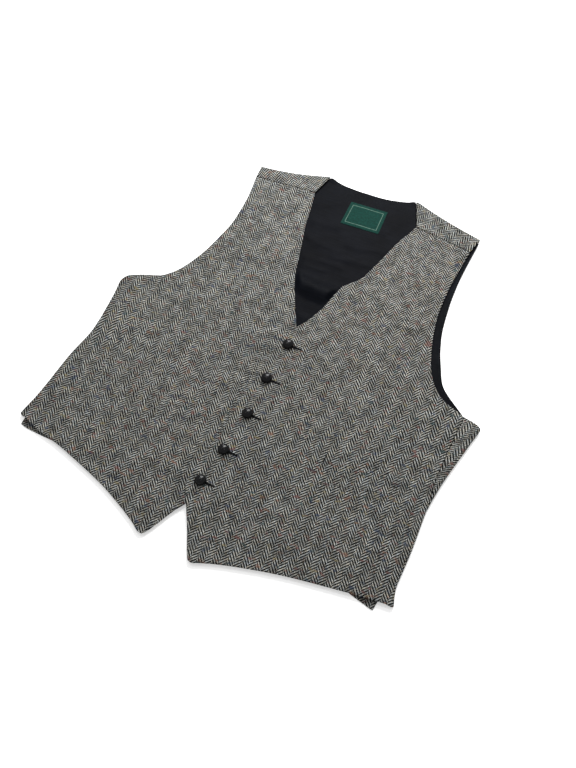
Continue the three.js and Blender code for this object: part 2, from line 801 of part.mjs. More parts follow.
const rightFront = frontSheet(RIGHT_FRONT, frontHeight).wall(CLOTH);
const leftFrontUncut = frontSheet(LEFT_FRONT, lappedHeight).wall(CLOTH);
const keyholes = wasm.Manifold.union(BUTTONS.map(keyhole));
const leftFront = fromManifold(toManifold(leftFrontUncut).subtract(keyholes));
const lining = wasm.Manifold.extrude([liningOutline()], LINING).translate([0, 0, LINING_BOTTOM]);
const labelOutline = LABEL_CORNERS.map((corner) => [corner.x, corner.y]);
const label = wasm.Manifold.extrude([labelOutline], LABEL).translate([0, 0, LINING_TOP + LAYER_GAP]);

const pieces = [
  { name: "back", geometry: backSheet().wall(CLOTH), material: TWEED },
  { name: "back_lining", geometry: fromManifold(lining), material: SATIN },
  { name: "right_front", geometry: rightFront, material: TWEED },
  { name: "left_front", geometry: leftFront, material: TWEED },
  { name: "right_welt", geometry: weltWall(RIGHT_POCKET, rightFront), material: TWEED },
  { name: "left_welt", geometry: weltWall(LEFT_POCKET, leftFrontUncut), material: TWEED },
  { name: "neck_label", geometry: fromManifold(label), material: WOVEN_LABEL },
];
BUTTONS.forEach((button, i) => {
  const geometry = fromManifold(buttonBody(button, rightFront, leftFrontUncut));
  pieces.push({ name: `button_${i + 1}`, geometry, material: LEATHER });
});

const bounds = new THREE.Box3();
for (const { geometry } of pieces) {
  geometry.computeBoundingBox();
  bounds.union(geometry.boundingBox);
}
const middle = bounds.getCenter(new THREE.Vector3());

const waistcoat = new THREE.Group();
waistcoat.name = "waistcoat";
for (const { name, geometry, material } of pieces) {
  geometry.translate(-middle.x, -middle.y, -bounds.min.z);
  geometry.computeVertexNormals();
  const mesh = new THREE.Mesh(geometry, material);
  mesh.name = name;
  waistcoat.add(mesh);
}

export default waistcoat;
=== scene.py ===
"""Looks of a tweed waistcoat, buttoned and laid flat on its back.

+Y runs to the neck, +X to the wearer's left side and +Z up from the surface. The cut's tables are
in millimetres from a point beside the top button, and every mesh is moved from there into the
part's frame.
"""
import enum
import logging
from collections.abc import Callable, Sequence
from dataclasses import dataclass

import bpy
import numpy as np
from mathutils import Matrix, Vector


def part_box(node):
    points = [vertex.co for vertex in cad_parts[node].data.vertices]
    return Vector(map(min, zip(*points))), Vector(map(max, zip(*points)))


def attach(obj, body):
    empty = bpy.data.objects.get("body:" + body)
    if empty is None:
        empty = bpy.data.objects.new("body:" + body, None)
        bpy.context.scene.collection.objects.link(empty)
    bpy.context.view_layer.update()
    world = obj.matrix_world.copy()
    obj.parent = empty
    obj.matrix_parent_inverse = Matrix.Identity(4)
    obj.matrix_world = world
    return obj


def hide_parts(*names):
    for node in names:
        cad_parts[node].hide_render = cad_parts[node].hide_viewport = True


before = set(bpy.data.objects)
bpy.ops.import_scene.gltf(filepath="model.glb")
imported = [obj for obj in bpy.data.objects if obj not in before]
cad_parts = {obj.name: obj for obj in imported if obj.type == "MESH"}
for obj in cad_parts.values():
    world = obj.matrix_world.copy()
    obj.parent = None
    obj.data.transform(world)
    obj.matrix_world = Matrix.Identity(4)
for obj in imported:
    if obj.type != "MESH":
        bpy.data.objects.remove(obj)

Array = np.ndarray
Pair = tuple[float, float]
Colour = tuple[float, float, float]
Place = tuple[float, float, float]
Height = Callable[[Array, Array], Array]
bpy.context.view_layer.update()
MM = 0.001
LABEL_WIDTH, LABEL_HEIGHT = 56.0, 42.0
LOG = logging.getLogger("waistcoat")


def smooth(start: float, stop: float, value: Array | float) -> Array:
    """Share from nought at start to one at stop, level at both ends: 3 t^2 - 2 t^3."""
    t = np.clip((value - start) / (stop - start), 0, 1)
    return t * t * (3 - 2 * t)


def lerp(start: Array | float, stop: Array | float, share: Array | float) -> Array:
    """Value that lies at the share of the way from start to stop."""
    return start + (stop - start) * share


def graded(length: float, step: float, start: bool = False, stop: bool = False) -> Array:
    """Shares of a line, even but for close steps at a finished end.

    Args:
        length: Length of the line.
        step: Even step between them.
        start: Whether the line's start is a rounded edge of the cloth.
        stop: Whether its end is one.

    Returns:
        Shares from nought to one.
    """
    close = np.array([0, 0.1, 0.32, 0.65, 1.1])
    head = close if start else np.zeros(1)
    tail = length - close[::-1] if stop else np.array([length])
    count = max(1, round((tail[0] - head[-1]) / step))
    middle = np.linspace(head[-1], tail[0], count + 1)[1:-1]
    return np.concatenate([head, middle, tail]) / length


@dataclass(frozen=True)
class Curve:
    """Smooth line through rows of (input, output), with no overshoot and flat beyond its ends."""

    rows: tuple[Pair, ...]

    def __call__(self, value: Array | float) -> Array:
        """Cubic between two rows, whose slopes are harmonic means of the rates beside them.

        Args:
            value: Inputs.

        Returns:
            The output at each input.
        """
        x, y = np.array(sorted(self.rows)).T
        rate = np.diff(y) / np.diff(x)
        product = rate[:-1] * rate[1:]
        total = np.where(product > 0, rate[:-1] + rate[1:], 1)
        slope = np.concatenate([rate[:1], np.where(product > 0, 2 * product / total, 0), rate[-1:]])
        at = np.clip(value, x[0], x[-1])
        i = np.clip(np.searchsorted(x, at, side="left") - 1, 0, len(x) - 2)
        width = x[i + 1] - x[i]
        t = (at - x[i]) / width
        before = y[i] * (1 + 2 * t) + slope[i] * width * t
        after = y[i + 1] * (3 - 2 * t) - slope[i + 1] * width * (1 - t)
        return before * (1 - t) ** 2 + after * t**2


@dataclass(frozen=True)
class Crease:
    """Soft ridge or trough: a bell across a line in plan, exp(-(distance / spread)^2)."""

    x0: float
    y0: float
    x1: float
    y1: float
    spread: float
    height: float

    def rise(self, x: Array, y: Array) -> Array:
        """Height that the crease adds.

        Args:
            x: Places across.
            y: Places up the garment.

        Returns:
            Height at each place.
        """
        run_x, run_y = self.x1 - self.x0, self.y1 - self.y0
        along = ((x - self.x0) * run_x + (y - self.y0) * run_y) / (run_x**2 + run_y**2)
        t = np.clip(along, 0, 1)
        away = np.hypot(x - self.x0 - t * run_x, y - self.y0 - t * run_y)
        return self.height * np.exp(-((away / self.spread) ** 2))


@dataclass(frozen=True)
class Layers:
    """Thickness of the tweed, middle heights of the layers, and sizes of folds, joints and edges."""

    cloth: float = 2.2
    back: float = 1.1
    lining_top: float = 3.5
    front_lowest: float = 4.9
    front: float = 5.6
    fold: float = 6.5
    lap_rise: float = 2.8
    fold_radius: float = 2.7
    fold_reach: float = 3.8
    joint: float = 34.0
    seam_gap: float = 0.4
    rounding: float = 1.1

    @property
    def quarter(self) -> float:
        """Length of cloth in a quarter of a side fold's turn."""
        return np.pi * self.fold_radius / 2


LAYERS = Layers()


@dataclass(frozen=True)
class SideFold:
    """Side of the garment, where the cloth turns over.

    s runs along the cloth: nought on the outermost line, positive over the top and negative
    underneath. fold holds x of the outermost line at height y, seam s of the side seam at
    height y, and underarm and hem the heights of the armhole and of the hem at s.
    """

    sign: int
    fold: Curve
    seam: Curve
    underarm: Curve
    hem: Curve

    def row_y(self, t: Array | float, s: Array | float) -> Array:
        """Height of a row, from the hem at t = 0 to the armhole at t = 1."""
        return lerp(self.hem(s), self.underarm(s), t)

    def seam_end(self, t: Array) -> Array:
        """Where each row meets the side seam, found by going round four times.

        Args:
            t: Rows, from the hem to the armhole.

        Returns:
            s at each row's end.
        """
        s = self.seam(self.row_y(t, 0.0))
        for _ in range(4):
            s = self.seam(self.row_y(t, s))
        return s

    def centre(self, y: Array | float) -> Array:
        """x of the centre of the turn."""
        return self.fold(y) - self.sign * LAYERS.fold_reach

    def place(self, s: Array, y: Array, height: Height) -> Array:
        """Points of the cloth: a half circle between two level stretches.

        Args:
            s: Places along the cloth.
            y: Heights of the points up the garment.
            height: Gives the middle height of the cloth over the top.

        Returns:
            The points, with x, y and z last.
        """
        angle = np.clip(s, -LAYERS.quarter, LAYERS.quarter) / LAYERS.fold_radius
        past = np.maximum(np.abs(s) - LAYERS.quarter, 0)
        x = self.centre(y) + self.sign * (LAYERS.fold_radius * np.cos(angle) - past)
        turned = LAYERS.back + LAYERS.fold_radius * (1 + np.sin(angle))
        z = np.where(s > LAYERS.quarter, height(x, y), turned)
        return np.stack(np.broadcast_arrays(x, y, z), -1)


@dataclass(frozen=True)
class ShoulderFold:
    """Shoulder, where the back turns over to the front: a line from tip to neck, a little hollow."""

    tip: Pair
    neck: Pair
    hollow: float
    joint_tip: float = 10.0
    joint_neck: float = 4.6

    @property
    def out(self) -> Array:
        """Unit vector in plan, square to the line, that points away from the garment."""
        run = np.subtract(self.neck, self.tip)
        run = run / np.hypot(*run)
        return np.array([-run[1], run[0]]) if run[0] > 0 else np.array([run[1], -run[0]])

    def line(self, along: Array) -> Array:
        """Points of the straight line from tip to neck."""
        return lerp(np.array(self.tip), np.array(self.neck), along[..., None])

    def start(self, along: Array) -> Array:
        """Distance inside the line at which the turn starts and ends."""
        return 4 * self.hollow * along * (1 - along) + LAYERS.fold_reach

    def joint(self, along: Array) -> Array:
        """Distance inside the line at which the shoulder joins the back underneath."""
        inside = lerp(self.joint_tip, self.joint_neck, along)
        return 4 * self.hollow * along * (1 - along) + inside


RIGHT_SIDE = SideFold(
    sign=-1,
    fold=Curve(((-241, -264), (-204, -258.5), (-140, -254), (-87, -247), (-37, -250), (-3, -254.5))),
    seam=Curve(((-251, -4.5), (-120, -15), (0, -24))),
    underarm=Curve(((34, 22.5), (20, 15.5), (6, 7), (0, -3), (-6, 3), (-24, 13))),
    hem=Curve(((34, -252.3), (17, -246.3), (0, -241), (-8, -242))),
)
LEFT_SIDE = SideFold(
    sign=1,
    fold=Curve((
        (-273, 263.6), (-260, 259.8), (-246, 257.6), (-210, 257.6),
        (-150, 254.9), (-115, 257.7), (-46, 269.9), (-13, 276.6),
    )),
    seam=Curve(((-285, -19.5), (-200, -11), (-146, 0), (-100, 10), (-46, 20), (-4, 27))),
    underarm=Curve((
        (34, -2), (27, -4.5), (8, -8.5), (2, -11.5), (0, -13), (-8, -9), (-22, -3.5), (-34, 0.5),
    )),
    hem=Curve(((34, -277), (0, -273.5), (-34, -271))),
)
RIGHT_SHOULDER = ShoulderFold(tip=(-170, 269.6), neck=(-68.5, 295.2), hollow=3.8)
LEFT_SHOULDER = ShoulderFold(tip=(172.8, 276.8), neck=(66, 305), hollow=2.4)

# Main soft forms of the fronts: both ends of the line, spread and height
FORMS = (
    Crease(-196, 40, -240, -120, 15, -1.8),
    Crease(-236, 0, -238, -60, 14, 1.4),
    Crease(-160, 116, -58, 128, 17, 1.9),
    Crease(-128, 84, -48, 80, 14, -0.7),
    Crease(46, 122, 148, 98, 14, 1.9),
    Crease(60, 84, 130, 66, 13, -0.7),
    Crease(73, 42, 50, -70, 18, 1.3),
    Crease(-90, 20, -70, -90, 26, 1.2),
    Crease(150, -20, 170, -90, 30, 1.4),
    Crease(-120, 170, -110, 225, 24, 0.9),
    Crease(125, 160, 120, 225, 24, 0.9),
    Crease(-190, -225, -90, -250, 24, 0.9),
    Crease(90, -250, 190, -235, 26, 0.9),
)

# Finer creases of the fronts: off the armholes, at the side seams, under the fold of the chest,
# along the buttons and above the hems
FINE_CREASES = (
    Crease(-206, 34, -226, -20, 5.5, -0.7),
    Crease(-228, -30, -240, -88, 5, -0.6),
    Crease(-214, 8, -236, -60, 6, 0.5),
    Crease(-190, 52, -205, 12, 6, 0.45),
    Crease(-168, 104, -118, 108, 6.5, 0.5),
    Crease(-116, 101, -66, 106, 6, -0.4),
    Crease(-64, 122, -50, 98, 6, 0.4),
    Crease(-150, 78, -96, 66, 8, 0.35),
    Crease(-40, 86, -26, 40, 7, 0.35),
    Crease(-66, 36, -52, -18, 9, -0.4),
    Crease(-34, 10, -28, -50, 8, 0.3),
    Crease(-128, -8, -140, -76, 10, -0.4),
    Crease(-178, -60, -186, -118, 8, 0.4),
    Crease(-220, -132, -226, -186, 7, -0.5),
    Crease(-236, -150, -238, -210, 5, 0.4),
    Crease(-150, -196, -96, -214, 9, -0.35),
    Crease(-70, -140, -40, -196, 9, 0.35),
    Crease(-58, -236, -46, -282, 8, -0.35),
    Crease(-110, 205, -96, 238, 8, -0.4),
    Crease(-146, 150, -140, 204, 8, 0.35),
    Crease(38, 134, 62, 122, 6, 0.6),
    Crease(58, 110, 104, 92, 6, -0.5),
    Crease(104, 112, 146, 92, 6, 0.45),
    Crease(96, 58, 78, 4, 8, -0.6),
    Crease(112, 44, 100, -30, 11, -0.6),
    Crease(34, 40, 22, -20, 8, 0.4),
    Crease(30, -30, 24, -96, 8, -0.35),
    Crease(42, -110, 34, -176, 9, 0.35),
    Crease(76, -96, 96, -150, 11, -0.4),
    Crease(140, 22, 176, 8, 9, 0.4),
    Crease(196, 6, 228, -30, 8, -0.5),
    Crease(206, -30, 224, -82, 8, 0.45),
    Crease(228, -110, 222, -176, 7, -0.45),
    Crease(240, -176, 238, -236, 6, 0.4),
    Crease(182, -170, 190, -226, 10, -0.35),
    Crease(118, -196, 132, -252, 10, 0.35),
    Crease(60, -214, 48, -282, 9, -0.35),
    Crease(20, -236, 26, -296, 7, 0.35),
    Crease(150, 150, 146, 210, 8, 0.4),
    Crease(104, 196, 112, 240, 8, -0.4),
    Crease(84, 178, 92, 214, 7, 0.3),
)


# Long, low waves that keep a laid cloth from being level: both wave numbers and the start
WAVES = ((0.061, 0.093, 0.4), (-0.047, 0.078, 2.1), (0.142, 0.026, 4.0), (0.109, -0.151, 1.3))


def ripple(x: Array, y: Array) -> Array:
    """Unevenness of laid cloth: the mean of four plane waves, between minus one and one."""
    return sum(np.sin(across * x + up * y + start) for across, up, start in WAVES) / len(WAVES)


RIGHT_EDGE = Curve((
    (256, -76), (226, -69), (195, -63), (167, -55.2), (140, -47.3), (113, -40.6), (98, -34.9),
    (80, -26.6), (62, -17.8), (35, -3.3), (5, 11), (-60, 16), (-170, 13), (-222, 6), (-262, -13.2),
    (-276, -21.4), (-302, -32.9), (-315, -39.5), (-318.3, -42.5),
))


def fold_nearness(x: Array, y: Array) -> Array:
    """How near each place is to a side or shoulder fold.

    Args:
        x: Places across.
        y: Places up the garment.

    Returns:
        One beside a fold and nought well inside it.
    """
    right = 1 - smooth(9, 42, x - RIGHT_SIDE.fold(y))
    left = 1 - smooth(9, 42, LEFT_SIDE.fold(y) - x)
    slopes = []
    for shoulder in (RIGHT_SHOULDER, LEFT_SHOULDER):
        t = (x - shoulder.tip[0]) / (shoulder.neck[0] - shoulder.tip[0])
        slopes.append(lerp(shoulder.tip[1], shoulder.neck[1], t))
    top = 1 - smooth(10, 60, np.where(x < 0, *slopes) - y)
    return np.maximum(np.maximum(right, left), top)


def front_height(x: Array, y: Array) -> Array:
    """Middle height of the fronts' cloth: its level, blended to the folds', and its creases.

    It is kept above the lining by log(1 + exp(6 rise)) / 6, which is soft where rise is small.

    Args:
        x: Places across.
        y: Places up the garment.

    Returns:
        Height at each place.
    """
    near = fold_nearness(x, y)
    main = sum(form.rise(x, y) for form in FORMS)
    fine = sum(crease.rise(x, y) for crease in FINE_CREASES) + 0.22 * ripple(x, y)
    level = lerp(LAYERS.front, LAYERS.fold, near)
    bent = level + (main + fine) * (1 - near**2)
    return LAYERS.front_lowest + np.logaddexp(0, 6 * (bent - LAYERS.front_lowest)) / 6


def lapped_height(x: Array, y: Array) -> Array:
    """Middle height of the upper front, which lies on the lower one and settles beyond it."""
    return front_height(x, y) + LAYERS.lap_rise * (1 - smooth(5, 45, x - RIGHT_EDGE(y)))


@dataclass
class Surface:
    """Sheet of four-sided faces, with the cloth's own coordinates at each point."""

    points: Array
    weave: Array
    quads: Array

    @classmethod
    def welded(cls, grids: Sequence[tuple[Array, Array]], flip: bool = False) -> "Surface":
        """Sheet of several grids that share their border points.

        Args:
            grids: Points and cloth coordinates of each grid, rows first.
            flip: Whether the grids' columns run the other way round.

        Returns:
            One sheet, in which points closer than a ten-thousandth of a millimetre are one.
        """
        quads, first = [], 0
        for points, _ in grids:
            rows, columns = points.shape[:2]
            index = first + np.arange(rows * columns).reshape(rows, columns)
            corners = (index[:-1, :-1], index[:-1, 1:], index[1:, 1:], index[1:, :-1])
            quads.append(np.stack([corner.ravel() for corner in corners], -1))
            first += rows * columns
        points = np.concatenate([grid[0].reshape(-1, 3) for grid in grids])
        weave = np.concatenate([grid[1].reshape(-1, 2) for grid in grids])
        _, kept, index = np.unique(
            np.round(points * 1e4).astype(np.int64), axis=0, return_index=True, return_inverse=True,
        )
        faces = index.ravel()[np.concatenate(quads)]
        return cls(points[kept], weave[kept], faces[:, ::-1] if flip else faces)

    def border(self) -> Array:
        """Border of the sheet.

        Returns:
            Pairs of points joined by a side of one face only.
        """
        sides = np.sort(np.stack([self.quads, np.roll(self.quads, -1, 1)], -1).reshape(-1, 2), 1)
        pairs, count = np.unique(sides, axis=0, return_counts=True)
        return pairs[count == 1]

    def facing(self) -> Array:
        """Direction of the outer side.

        Returns:
            Unit normal at each point: the mean of the faces round it, by area.
        """
        corner = self.points[self.quads]
        normal = np.cross(corner[:, 2] - corner[:, 0], corner[:, 3] - corner[:, 1])
        total = np.zeros_like(self.points)
        for k in range(4):
            np.add.at(total, self.quads[:, k], normal)
        return total / np.linalg.norm(total, axis=1, keepdims=True)

    def inset(self, reach: float = 12.0) -> Array:
        """Distance of each point from the border.

        The distance to a segment is that to its line, clamped to its two ends. It is worked out
        only for points that have one of every six border points near them.

        Args:
            reach: Largest distance that is told apart.

        Returns:
            Distance of each point, no more than reach.
        """
        pairs = self.border()
        a, run = self.points[pairs[:, 0]], self.points[pairs[:, 1]] - self.points[pairs[:, 0]]
        length = (run**2).sum(1)
        count = len(self.points)
        result = np.full(count, reach)
        thinned, margin, batch = a[::6], 16, 3000
        for part in np.array_split(np.arange(count), max(1, count // batch)):
            rough = ((self.points[part, None] - thinned[None]) ** 2).sum(-1).min(1)
            near = part[rough < (reach + margin) ** 2]
            if not len(near):
                continue
            away = self.points[near, None] - a[None]
            t = np.clip((away * run).sum(-1) / length, 0, 1)
            gap = ((away - t[..., None] * run) ** 2).sum(-1).min(1)
            result[near] = np.minimum(np.sqrt(gap), reach)
        result[np.unique(pairs)] = 0
        return result

    def shell(self, thickness: float, rounding: float, turned: float = 0.0) -> "Surface":
        """Closed cloth with the sheet in its middle and rounded edges.

        Half its thickness at distance d from the edge is half * sqrt(1 - (1 - d / rounding)^2).
        The hem turned in behind the edge lifts the outer side a little as far as it goes.

        Args:
            thickness: Full thickness of the cloth.
            rounding: Distance from the edge over which it rounds off.
            turned: Height added along the edges.

        Returns:
            The outer and the inner side as one sheet with no border.
        """
        inset = self.inset()
        half = thickness / 2 * np.sqrt(1 - (1 - np.clip(inset / rounding, 0, 1)) ** 2)
        lift = turned * smooth(0.5, 3, inset) * (1 - smooth(5.5, 11, inset))
        normal = self.facing()
        outer = self.points + normal * (half + lift)[:, None]
        inner = self.points - normal * half[:, None]
        free = inset > 0
        under = np.arange(len(self.points))
        under[free] = len(self.points) + np.arange(free.sum())
        return Surface(
            np.concatenate([outer, inner[free]]),
            np.concatenate([self.weave, self.weave[free]]),
            np.concatenate([self.quads, under[self.quads[:, ::-1]]]),
        )


def part_shift() -> Array:
    """Where the tables' origin lies in the part's frame.

    Returns:
        Vector in millimetres, found from the place of the top button.
    """
    low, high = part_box("button_1")
    middle = (np.array(low) + np.array(high)) / 2 / MM
    return np.array([middle[0] - BUTTONS[0][0], middle[1] - BUTTONS[0][1], 0])


def make_object(name: str, surface: Surface, material: bpy.types.Material) -> bpy.types.Object:
    """Mesh object of a surface, in metres and in the part's frame.

    Args:
        name: Name of the piece.
        surface: Its faces, in the tables' millimetres.
        material: Its finish.

    Returns:
        The object, which lies at the origin and rides on the garment.
    """
    mesh = bpy.data.meshes.new(name)
    points = (surface.points + part_shift()) * MM
    points[:, 2] = np.maximum(points[:, 2], 0)  # nothing lies below the surface it rests on
    mesh.from_pydata(points, [], surface.quads)
    corner = np.empty(len(mesh.loops), np.int32)
    mesh.loops.foreach_get("vertex_index", corner)
    layer = mesh.uv_layers.new(name="weave")
    layer.uv.foreach_set("vector", (surface.weave[corner] * MM).astype(np.float32).ravel())
    mesh.polygons.foreach_set("use_smooth", np.ones(len(mesh.polygons), bool))
    mesh.materials.append(material)
    mesh.update()
    piece = bpy.data.objects.new(name, mesh)
    bpy.context.scene.collection.objects.link(piece)
    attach(piece, "root")
    return piece


class Op(enum.Enum):
    """Operations of a Math node that the finishes use."""

    ADD = "ADD"
    SUBTRACT = "SUBTRACT"
    MULTIPLY = "MULTIPLY"
    DIVIDE = "DIVIDE"
    FLOOR = "FLOOR"
    FRACTION = "FRACT"
    MODULO = "FLOORED_MODULO"
    LESS = "LESS_THAN"
    GREATER = "GREATER_THAN"
    ABSOLUTE = "ABSOLUTE"
    SINE = "SINE"
    MINIMUM = "MINIMUM"


Input = bpy.types.NodeSocket | float
Paint = bpy.types.NodeSocket | Colour


class Graph:
    """Nodes of one material, with a surface shader whose constants are set on its sockets."""

    def __init__(self, name: str, **constants: float) -> None:
        """Starts a material with a surface shader.

        Args:
            name: Name of the material.
            constants: Values of the shader's sockets, with underscores for spaces.
        """
        self.material = bpy.data.materials.new(name)
        self.material.use_nodes = True
        self.tree = self.material.node_tree
        self.shader = self.tree.nodes["Principled BSDF"]
        for socket, value in constants.items():
            self.shader.inputs[socket.replace("_", " ")].default_value = value

    def node(self, kind: str, settings: dict | None = None, **inputs: Input) -> bpy.types.Node:
        """Adds a node.

        Args:
            kind: Its type.
            settings: Its own properties.
            inputs: Sockets or constants for its inputs, with underscores for spaces.

        Returns:
            The node.
        """
        made = self.tree.nodes.new(kind)
        for name, value in (settings or {}).items():
            setattr(made, name, value)
        for name, value in inputs.items():
            self.feed(made.inputs[name.replace("_", " ")], value)
        return made

    def feed(self, socket: bpy.types.NodeSocket, value: Input) -> None:
        """Links a socket to another one, or sets its constant.

        Args:
            socket: Input of a node.
            value: What it gets.
        """
        if isinstance(value, bpy.types.NodeSocket):
            self.tree.links.new(value, socket)
        else:
            socket.default_value = value

    def math(self, op: Op, *values: Input) -> bpy.types.NodeSocket:
        """One arithmetic step.

        Args:
            op: The operation.
            values: One or two values.

        Returns:
            The result.
        """
        made = self.node("ShaderNodeMath", {"operation": op.value})
        for socket, value in zip(made.inputs, values):
            self.feed(socket, value)
        return made.outputs[0]

    def mapped(self, value: Input, low: float, high: float, to_low: float = 0.0,
               to_high: float = 1.0) -> bpy.types.NodeSocket:
        """Value carried softly from one range to another.

        Args:
            value: The value.
            low: Start of the first range.
            high: Its end.
            to_low: Start of the second range.
            to_high: Its end.

        Returns:
            The new value, clamped to the second range.
        """
        made = self.node("ShaderNodeMapRange", {"interpolation_type": "SMOOTHSTEP"})
        for socket, number in zip(made.inputs, (value, low, high, to_low, to_high)):
            self.feed(socket, number)
        return made.outputs["Result"]

    def mix(self, share: Input, first: Paint, second: Paint,
            blend: str = "MIX") -> bpy.types.NodeSocket:
        """Mixture of two colours.

        Args:
            share: Share of the second.
            first: First colour.
            second: Second colour.
            blend: How they are mixed.

        Returns:
            The colour.
        """
        made = self.node("ShaderNodeMix", {"data_type": "RGBA", "blend_type": blend})
        self.feed(made.inputs[0], share)
        for socket, colour in ((made.inputs[6], first), (made.inputs[7], second)):
            is_socket = isinstance(colour, bpy.types.NodeSocket)
            self.feed(socket, colour if is_socket else (*colour, 1.0))
        return made.outputs[2]

    def shaded(self, colour: Paint, shade: Input) -> bpy.types.NodeSocket:
        """Colour times a shade."""
        return self.mix(1.0, colour, self.vector(shade, shade, shade), "MULTIPLY")

    def chosen(self, flag: Input, off: Input, on: Input) -> bpy.types.NodeSocket:
        """One of two values by a flag of nought or one: off + flag * (on - off)."""
        return self.math(Op.ADD, off, self.math(Op.MULTIPLY, flag, self.math(Op.SUBTRACT, on, off)))

    def wave(self, value: Input, period: float) -> bpy.types.NodeSocket:
        """Sine of a value that comes back after each period."""
        return self.math(Op.SINE, self.math(Op.MULTIPLY, value, 2 * np.pi / period))

    def vector(self, x: Input, y: Input, z: Input = 0.0) -> bpy.types.NodeSocket:
        """Vector of three values."""
        return self.node("ShaderNodeCombineXYZ", None, X=x, Y=y, Z=z).outputs[0]

    def noise(self, at: Input, scale: float, detail: float = 2.0) -> bpy.types.NodeSocket:
        """Noise from about nought to one."""
        return self.node("ShaderNodeTexNoise", None, Vector=at, Scale=scale, Detail=detail).outputs[0]

    def weave(self) -> tuple[bpy.types.NodeSocket, bpy.types.NodeSocket]:
        """The cloth's own coordinates.

        Returns:
            Millimetres across its grain and along it.
        """
        made = self.node("ShaderNodeUVMap", {"uv_map": "weave"})
        parts = self.node("ShaderNodeSeparateXYZ", None, Vector=made.outputs[0])
        return tuple(self.math(Op.MULTIPLY, parts.outputs[k], 1 / MM) for k in (0, 1))

    def place(self) -> bpy.types.NodeSocket:
        """Place in the part's frame, in metres."""
        return self.node("ShaderNodeTexCoord").outputs["Object"]

    def finish(self, colour: Input, height: Input, depth: float,
               strength: float) -> bpy.types.Material:
        """Ends the material with a colour and a relief.

        Args:
            colour: Colour of the surface.
            height: Relief from nought to one.
            depth: Depth in millimetres of a relief of one.
            strength: Share of the relief that the light sees.

        Returns:
            The material.
        """
        self.feed(self.shader.inputs["Base Color"], colour)
        bump = self.node("ShaderNodeBump", None, Strength=strength, Distance=depth * MM, Height=height)
        self.feed(self.shader.inputs["Normal"], bump.outputs[0])
        return self.material


